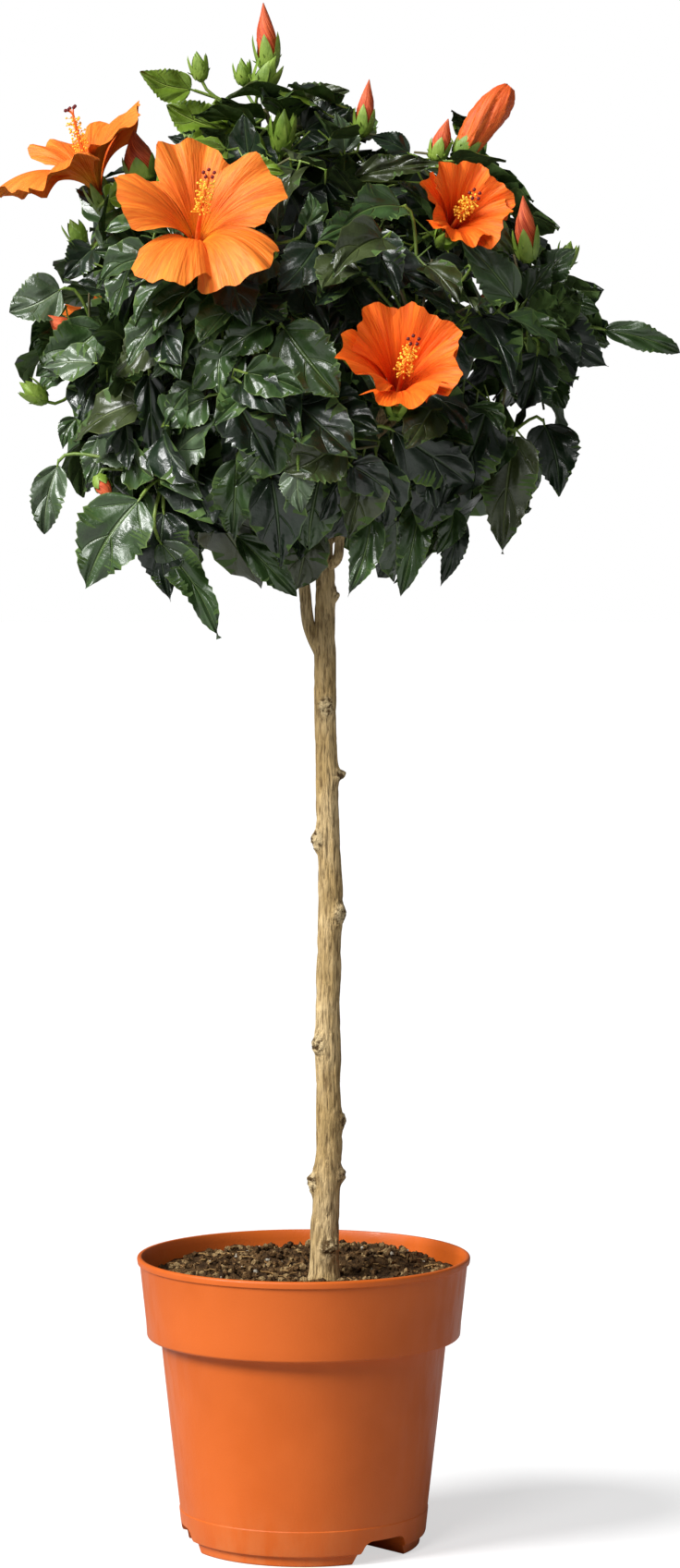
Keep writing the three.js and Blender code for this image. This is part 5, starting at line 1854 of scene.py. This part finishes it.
@dataclass
class Foliage:
    """All the masses: leaves in four pieces by side, woody twigs and green stalks."""

    stations: int = 10
    strips: int = 4
    named_stations: int = 26
    named_strips: int = 6
    masses: list[Mass] = field(default_factory=list)

    def grow(self, wood: Wood) -> None:
        """Grows the masses one after another.

        Args:
            wood: The boughs that they stand on.
        """
        limbs = solid_tree(wood.plain_limbs(LIMB_CLEAR))
        for index, name in enumerate(MASSES):
            self.masses.append(Mass(index, wood, limbs))
            self.masses[-1].grow()
            LOG.info("mass %s: %d leaves", name, len(self.masses[-1].blades))

    def blade_shape(self, blade: Blade) -> BladeShape:
        """Draws one leaf's bends and folds, by its own seed.

        Args:
            blade: The leaf.

        Returns:
            Its shape.
        """
        chance = np.random.default_rng(blade.seed + 17)
        calm = 0.75 if blade.named else 1.0
        return BladeShape(
            length=blade.length, half=blade.half, droop=chance.uniform(0.1, 1.25) * calm,
            fold=chance.uniform(-0.2, 0.6) * calm, wave=chance.uniform(1.2, 3.6) * blade.length**2 / 2800,
            waves=chance.uniform(1.4, 2.8), phase=chance.uniform(), twist=chance.uniform(-0.9, 0.9) * calm,
            taper=chance.uniform(0.85, 1.35), sway=chance.uniform(-3.5, 3.5), shoulder=chance.uniform(0.4, 0.62),
        )

    def add_leaf(self, leaves: MeshHeap, stalks: MeshHeap, blade: Blade) -> None:
        """Adds one leaf's blade and stalk.

        Args:
            leaves: Where the blade goes.
            stalks: Where the stalk goes.
            blade: The leaf.
        """
        root, along, face = blade.frame
        foot = root + along * blade.stalk
        cells = (self.named_stations, self.named_strips) if blade.named else (self.stations, self.strips)
        shape, spots = self.blade_shape(blade).mesh((foot, along, face), *cells)
        leaves.add(shape, blade.tone.value, spots, UNDERSIDE)
        over = root + along * blade.stalk * 0.5 - face * 0.6
        path = Route.bent(root - along * 0.5, over, foot + along * 1.5).points(np.linspace(0, 1, 5))
        stalks.add(tube(path, np.linspace(0.75, 0.6, 5), 5))

    def build(self) -> None:
        """Makes the joined pieces."""
        leaves = {side: MeshHeap() for side in ("front_left", "front_right", "back_left", "back_right")}
        owners: dict[str, list[str]] = {side: [] for side in leaves}
        twigs, stalks = MeshHeap(), MeshHeap()
        for mass, name in zip(self.masses, MASSES):
            side = ("front_" if mass.middle.y < 0.5 else "back_") + ("left" if mass.middle.x < 7 else "right")
            owners[side].append("foliage_" + name)
            for blade in mass.blades:
                self.add_leaf(leaves[side], stalks, blade)
            for twig in (mass.stem, *mass.shoots, *mass.stalks, *mass.fine):
                steps = max(5, int(twig.route.lengths[-1] / 5))
                path = twig.route.points(np.linspace(0, 1, steps))
                (twigs if twig.woody else stalks).add(tube(path, np.linspace(twig.start, twig.end, steps), 7))
        finishes = [finish.make() for finish in LEAF_FINISHES]
        for side, heap in leaves.items():
            settle(heap.piece("leaves_" + side, finishes, 50), owners[side])
        woody = StemFinish("twig_skin", rgb(92, 96, 58), rgb(120, 108, 76), 0.7).make()
        green = StemFinish("stalk_skin", rgb(98, 126, 42), rgb(126, 148, 62), 0.45).make()
        settle(twigs.piece("twigs", [woody]))
        settle(stalks.piece("green_stalks", [green]))


# Flowers and buds


class Corolla:
    """The funnel that a flower's petals lie on."""

    def __init__(self, bloom: Bloom) -> None:
        """Keeps the flower's axes.

        Args:
            bloom: The flower.
        """
        self.bloom = bloom
        self.axis = np.array(Vector(bloom.faces).normalized())
        self.across = unit(np.cross((0.0, 0.0, 1.0), self.axis))
        self.over = np.cross(self.axis, self.across)
        self.flare = lerp(0.3, 1.5, bloom.opened)

    def outward(self, angle: float | Array) -> Array:
        """The direction away from the axis at an angle."""
        return np.cos(angle)[..., None] * self.across + np.sin(angle)[..., None] * self.over

    def spread(self, share: Array, angle: Array) -> tuple[Array, Array]:
        """Finds places on the funnel.

        Args:
            share: Shares of its length.
            angle: Angles round it.

        Returns:
            The points, and the direction off its inner side at each.
        """
        out = self.outward(angle)
        points = np.array(self.bloom.throat) + out * 1.5
        steps = 8
        for k in range(steps):
            turn = lerp(0.25, 1.0, ((k + 0.5) / steps) * share) * self.flare
            step = self.bloom.petal * share / steps
            points = points + out * (np.sin(turn) * step)[..., None] + self.axis * (np.cos(turn) * step)[..., None]
        turn = lerp(0.25, 1.0, share) * self.flare
        return points, self.axis * np.sin(turn)[..., None] - out * np.cos(turn)[..., None]

    def plain(self) -> Shape:
        """Makes a coarse closed funnel, for the leaves' tests.

        Returns:
            Its points and faces.
        """
        angles = np.arange(15) * FULL_TURN / 15
        rings = []
        for share in (0.05, 0.5, 1.06):
            points, inner = self.spread(np.full(15, share), angles)
            rings.append(points - inner * 5.0 * share)
        middle = np.array(self.bloom.throat)
        points = np.concatenate([*rings, [middle], [middle + self.axis * self.bloom.petal * 0.7]])
        return points, ring_faces(3, 15)


@dataclass(frozen=True)
class Sepals:
    """A ring of sepals or bracts. Lengths are shares of the calyx's length and radius."""

    count: int
    reach: float
    seat: float
    lean: float
    loose: bool
    droop: float
    shoulder: float
    strips: int


SEPALS = Sepals(5, 1.0, 0.75, 0.18, False, -0.5, 0.6, 4)
BRACTS = Sepals(7, 0.55, 0.35, 0.95, True, 0.5, 0.8, 2)
BRACT_HALF = 0.8
CALYX_BELOW_THROAT = 15.0


@dataclass
class Blossom:
    """Open flowers: five ruffled petals, column with anthers and stigmas, calyx and bracts."""

    rows: int = 26
    strips: int = 28
    overlap: float = 44.0
    thick: float = 0.35
    anthers: int = 76
    bud_rows: int = 26
    bud_sides: int = 40
    petals: MeshHeap = field(default_factory=MeshHeap)
    columns: MeshHeap = field(default_factory=MeshHeap)
    greens: MeshHeap = field(default_factory=MeshHeap)

    def add_petal(self, corolla: Corolla, centre: float, chance: Dice) -> None:
        """Adds one petal over its funnel.

        Args:
            corolla: The funnel.
            centre: Angle of the petal's middle, in radians.
            chance: Random numbers for its ruffles.
        """
        u = np.linspace(0.0, 1.0, self.rows + 1)[:, None]
        v = np.linspace(-1.0, 1.0, self.strips + 1)[None]
        opened, size = corolla.bloom.opened, corolla.bloom.petal / 58
        edge = chance.uniform(0.94, 1.05) - lerp(-0.06, 0.35, opened) * np.abs(v) ** 2.4
        edge = edge + 0.035 * np.sin(v * chance.uniform(4, 9) + chance.uniform(0, 6))
        edge = edge + 0.011 * np.sin(v * chance.uniform(17, 30) + chance.uniform(0, 6))
        half = math.radians(lerp(self.overlap * 1.3, self.overlap, opened))
        points, inner = corolla.spread(*np.broadcast_arrays(u * edge, centre + v * half * (0.88 + 0.12 * u)))
        phase = chance.uniform(0, FULL_TURN, 3)
        lift = v * 3.4 * u + 3.0 * u**2.0 * np.sin(v * 4.3 + phase[0]) + 1.9 * u**4 * np.sin(v * 12 + phase[1])
        lift = lift + 0.4 * u * np.sin(v * 24 + phase[2]) - 3.6 * u**3 * np.abs(v) ** 2
        lift = lift + 1.6 * u * np.exp(-((v / 0.16) ** 2)) - chance.uniform(0.0, 3.0) * u**3
        top = points + inner * (lift * size)[..., None]
        top[..., 2] -= max(0.0, -math.sin(centre)) * opened**2 * 15.0 * u**2.6 * size
        under = top[1:-1, 1:-1] - inner[1:-1, 1:-1] * self.thick
        numbers = np.arange(top[..., 0].size).reshape(top.shape[:2])
        lower = numbers.copy()
        lower[1:-1, 1:-1] = numbers.size + np.arange(under[..., 0].size).reshape(under.shape[:2])
        places = np.stack(np.broadcast_arrays(u, v * 0.5 + 0.5 + chance.integers(0, 9)), axis=-1)
        spots = np.concatenate([places.reshape(-1, 2), places[1:-1, 1:-1].reshape(-1, 2)])
        points = np.concatenate([top.reshape(-1, 3), under.reshape(-1, 3)])
        sides = [grid_faces(numbers), grid_faces(lower)[:, ::-1]]
        self.petals.add((points, sides), int(corolla.bloom.deep), spots)

    def add_column(self, corolla: Corolla, chance: Dice) -> None:
        """Adds the column with its anthers on short threads and five stigmas.

        Args:
            corolla: The flower's funnel.
            chance: Random numbers for the anthers.
        """
        heap, axis, (ball, faces) = self.columns, corolla.axis, ball_shape()
        length = corolla.bloom.petal * 0.78
        lean = np.array((0.1, 0.0, 0.06)) * length
        t = np.linspace(0, 1, 14)
        path = np.array(corolla.bloom.throat) + axis * ((t * (length + 2)) - 2)[:, None] + lean * (t**2)[:, None]
        heap.add(tube(path, np.interp(t, [0, 0.2, 0.6, 1], [1.9, 1.3, 1.0, 0.7]), 10))
        line = Route(path)
        for number in range(self.anthers):
            share = lerp(0.5, 0.94, (number + chance.uniform(0, 1)) / self.anthers)
            out = corolla.outward(number * 2.4 + chance.uniform(-0.3, 0.3))
            start = np.array(line.at(share))
            end = start + unit(out + axis * chance.uniform(-0.1, 0.7)) * chance.uniform(2.6, 5.2)
            heap.add(tube(np.array([start, (start + end) / 2, end]), 0.16, 4), 1)
            heap.add((ball * chance.uniform(0.55, 0.85) + end, faces), 1)
        for number in range(5):
            end = path[-1] + axis * 3.2 + corolla.outward(number * FULL_TURN / 5 + 0.3) * 3.0
            heap.add(tube(np.array([path[-1] - axis, (path[-1] + end) / 2 + axis * 0.6, end]), 0.3, 5))
            heap.add((ball * 1.15 + end, faces), 2)

    def add_calyx(self, foot: Vector, axis: Vector, length: float, radius: float, seed: int) -> None:
        """Adds a cup of five sepals, with narrow bracts round its foot.

        Args:
            foot: Foot of the cup.
            axis: The way it opens.
            length: Height of the sepals.
            radius: Radius of the cup.
            seed: Seed of its small differences.
        """
        chance = np.random.default_rng(seed)
        side = axis.orthogonal().normalized()
        cup = [foot + axis * length * share for share in (-0.02, 0.1, 0.25, 0.45)]
        self.greens.add(tube(np.array(cup), np.array([0.25, 0.7, 0.95, 0.85]) * radius, 12))
        for ring, half in ((SEPALS, radius * 0.62), (BRACTS, BRACT_HALF)):
            for number in range(ring.count):
                outward = turned(side, axis, number * FULL_TURN / ring.count + chance.uniform(-0.1, 0.1))
                start = foot + outward * radius * ring.seat + axis * length * 0.06
                lean = ring.lean * (chance.uniform(0.6, 1.2) if ring.loose else 1.0)
                pose = frame_along(start, start + (axis + outward * lean).normalized(), axis * 0.3 - outward)
                reach = length * ring.reach * chance.uniform(0.92, 1.08)
                leaf = BladeShape(reach, half, ring.droop, 0.25, tooth=0.0, thick=0.5, shoulder=ring.shoulder)
                shape, spots = leaf.mesh(pose, 7, ring.strips)
                self.greens.add(shape, 0, spots)

    def add_bud(self, bud: Bud, seed: int) -> None:
        """Adds a furled or green bud, or a withered flower, in its calyx.

        Args:
            bud: The bud.
            seed: Seed of its small differences.
        """
        foot, tip = Vector(bud.foot), Vector(bud.tip)
        axis, length = (tip - foot).normalized(), (tip - foot).length
        t = np.linspace(0, 1, self.bud_rows)[:, None]
        angle = np.arange(self.bud_sides) * FULL_TURN / self.bud_sides
        if bud.kind is WITHERED:
            girth = np.interp(t, [0, 0.2, 0.5, 0.72, 0.9, 1], [0.5, 0.78, 1.0, 0.95, 0.72, 0.35])
            turns = angle + t * 1.3
            folds = 1 + 0.12 * np.sin(5 * turns) + 0.06 * np.sin(11 * turns + 2)
            folds = folds + 0.03 * np.sin(17 * turns + t * 4)
        else:
            girth = np.interp(t, [0, 0.15, 0.4, 0.6, 0.8, 1], [0.5, 0.85, 0.9, 0.72, 0.38, 0.04])
            turns = angle + t * 2.6
            folds = 1 + 0.13 * (np.abs(np.sin(2.5 * turns)) ** 0.6 - 0.6) + 0.025 * np.sin(21 * turns)
        start, sepals, cup = bud.kind.value
        path = np.array([foot.lerp(tip, lerp(start, 1.0, share)) for share in t[:, 0]])
        shape = tube(path, girth * folds * bud.radius, self.bud_sides)
        spots = np.stack(np.broadcast_arrays(0.4 + 0.6 * t, turns / FULL_TURN), axis=-1).reshape(-1, 2)
        spots = np.concatenate([spots, spots[:1], spots[-1:]])
        if bud.kind is GREEN:
            self.greens.add(shape)
        else:
            self.petals.add(shape, WITHERED_SHADE if bud.kind is WITHERED else FURLED_SHADE, spots)
        self.add_calyx(foot, axis, length * sepals, bud.radius * cup, seed)
        if bud.kind is WITHERED:
            chance = np.random.default_rng(seed)
            ball, faces = ball_shape()
            for number in range(5):
                out = turned(axis.orthogonal().normalized(), axis, number * FULL_TURN / 5)
                end = tip + axis * chance.uniform(-1.0, 0.5) + out * chance.uniform(1.0, 2.6)
                self.petals.add((ball * 0.8 + np.array(end), faces), STIGMA_SHADE)

    def build(self) -> None:
        """Makes petals, columns, calyces and buds."""
        for number, bloom in enumerate(BLOOMS):
            chance = np.random.default_rng(500 + number)
            corolla = Corolla(bloom)
            for petal in range(5):
                self.add_petal(corolla, math.radians(bloom.turn + petal * 360 / 5), chance)
            self.add_column(corolla, chance)
            axis = Vector(corolla.axis)
            self.add_calyx(Vector(bloom.throat) - axis * CALYX_BELOW_THROAT, axis, 22.0, 5.2, 700 + number)
        for number, bud in enumerate(BUDS):
            self.add_bud(bud, 800 + number)
        stigma, column, anther, calyx = (StemFinish(*row).make() for row in (
            ("stigma", rgb(120, 10, 14), rgb(90, 6, 10), 0.6),
            ("column_skin", rgb(244, 130, 50), rgb(232, 92, 34), 0.5),
            ("anthers", rgb(255, 214, 70), rgb(250, 188, 48), 0.6),
            ("calyx_skin", rgb(100, 130, 38), rgb(136, 162, 62), 0.5),
        ))
        finishes = [finish.make() for finish in PETAL_FINISHES]
        settle(self.petals.piece("petals", [*finishes, stigma], 55))
        settle(self.columns.piece("flower_columns", [column, anther, stigma]))
        settle(self.greens.piece("calyces", [calyx]))


# Studio


def aim(name: str, holding: bpy.types.ID, place: Place, target: Place) -> Piece:
    """Puts a camera or a light at a place and turns it to a target.

    Args:
        name: Name of its object.
        holding: The camera or light.
        place: Where it stands.
        target: What it looks at.

    Returns:
        The object.
    """
    stand = bpy.data.objects.new(name, holding)
    bpy.context.scene.collection.objects.link(stand)
    stand.location = place
    stand.rotation_euler = (Vector(target) - Vector(place)).to_track_quat("-Z", "Y").to_euler()
    return stand


@dataclass
class Studio:
    """A pale floor, soft light from the front left, and the camera of the photograph."""

    camera_place: Place = (0.0207, -2.5, 0.569)
    camera_target: Place = (0.0207, 0.0, 0.4337)
    lens: float = 101.4
    sun_place: Place = (-2.1, -1.25, 1.9)
    sun_strength: float = 4.4
    sun_softness: float = 24.0
    front_place: Place = (-0.5, -1.5, 1.6)
    front_power: float = 15.0
    front_size: float = 0.55
    backdrop: float = 1.0
    ambient: float = 0.13

    def camera(self) -> None:
        """Sets the camera at the photograph's angle."""
        camera = bpy.data.cameras.new("camera")
        camera.lens, camera.sensor_width = self.lens, 36.0
        camera.clip_start, camera.clip_end = 0.05, 50.0
        bpy.context.scene.camera = aim("camera", camera, self.camera_place, self.camera_target)

    def lights(self) -> None:
        """Adds the key, even light as from a wide soft box, and a softer light in front."""
        key = bpy.data.lights.new("key_light", "SUN")
        key.energy, key.angle = self.sun_strength, math.radians(self.sun_softness)
        aim("key_light", key, self.sun_place, (0.0, 0.0, 0.0))
        front = bpy.data.lights.new("front_light", "AREA")
        front.energy, front.size = self.front_power, self.front_size
        aim("front_light", front, self.front_place, (0.0, 0.0, 0.5))

    def floor(self) -> None:
        """A wide pale floor."""
        clear_selection()
        bpy.ops.mesh.primitive_circle_add(vertices=96, radius=30.0, fill_type="NGON")
        floor = bpy.context.object
        floor.name = "floor"
        coat = Coat("floor")
        seen = coat.put("LightPath").outputs["Is Camera Ray"]
        coat.fill(coat.shader, {
            "Base Color": (0.5, 0.5, 0.5, 1.0), "Roughness": 0.9, "Specular IOR Level": 0.0,
            "Emission Color": (1.0, 1.0, 1.0, 1.0), "Emission Strength": coat.times(seen, 0.6),
        })
        floor.data.materials.append(coat.material)

    def world(self) -> None:
        """White behind the plant, and a softer light from all round."""
        world = bpy.data.worlds.new("studio")
        world.use_nodes = True
        bpy.context.scene.world = world
        bench = Bench(world.node_tree)
        surround = bench.fill(world.node_tree.nodes["Background"], {0: (0.97, 0.98, 1.0, 1.0), 1: self.ambient})
        behind = bench.put("Background", {0: (1.0, 1.0, 1.0, 1.0), 1: self.backdrop})
        seen = bench.put("LightPath").outputs["Is Camera Ray"]
        both = bench.put("MixShader", {0: seen, 1: surround.outputs[0], 2: behind.outputs[0]})
        bench.fill(world.node_tree.nodes["World Output"], {0: both.outputs[0]})

    def build(self) -> None:
        """Sets up camera, floor and light."""
        self.camera()
        self.floor()
        self.world()
        self.lights()
        settings = bpy.context.scene.view_settings
        settings.view_transform, settings.look = "Standard", "None"


def main() -> None:
    """Builds the plant's pieces in order."""
    NurseryPot().build()
    PottingSoil().build()
    wood = Wood()
    wood.lay_out()
    wood.trunk()
    wood.boughs()
    foliage = Foliage()
    foliage.grow(wood)
    foliage.build()
    Blossom().build()
    Studio().build()
    LOG.info("pieces done")


if __name__ == "__main__":
    main()
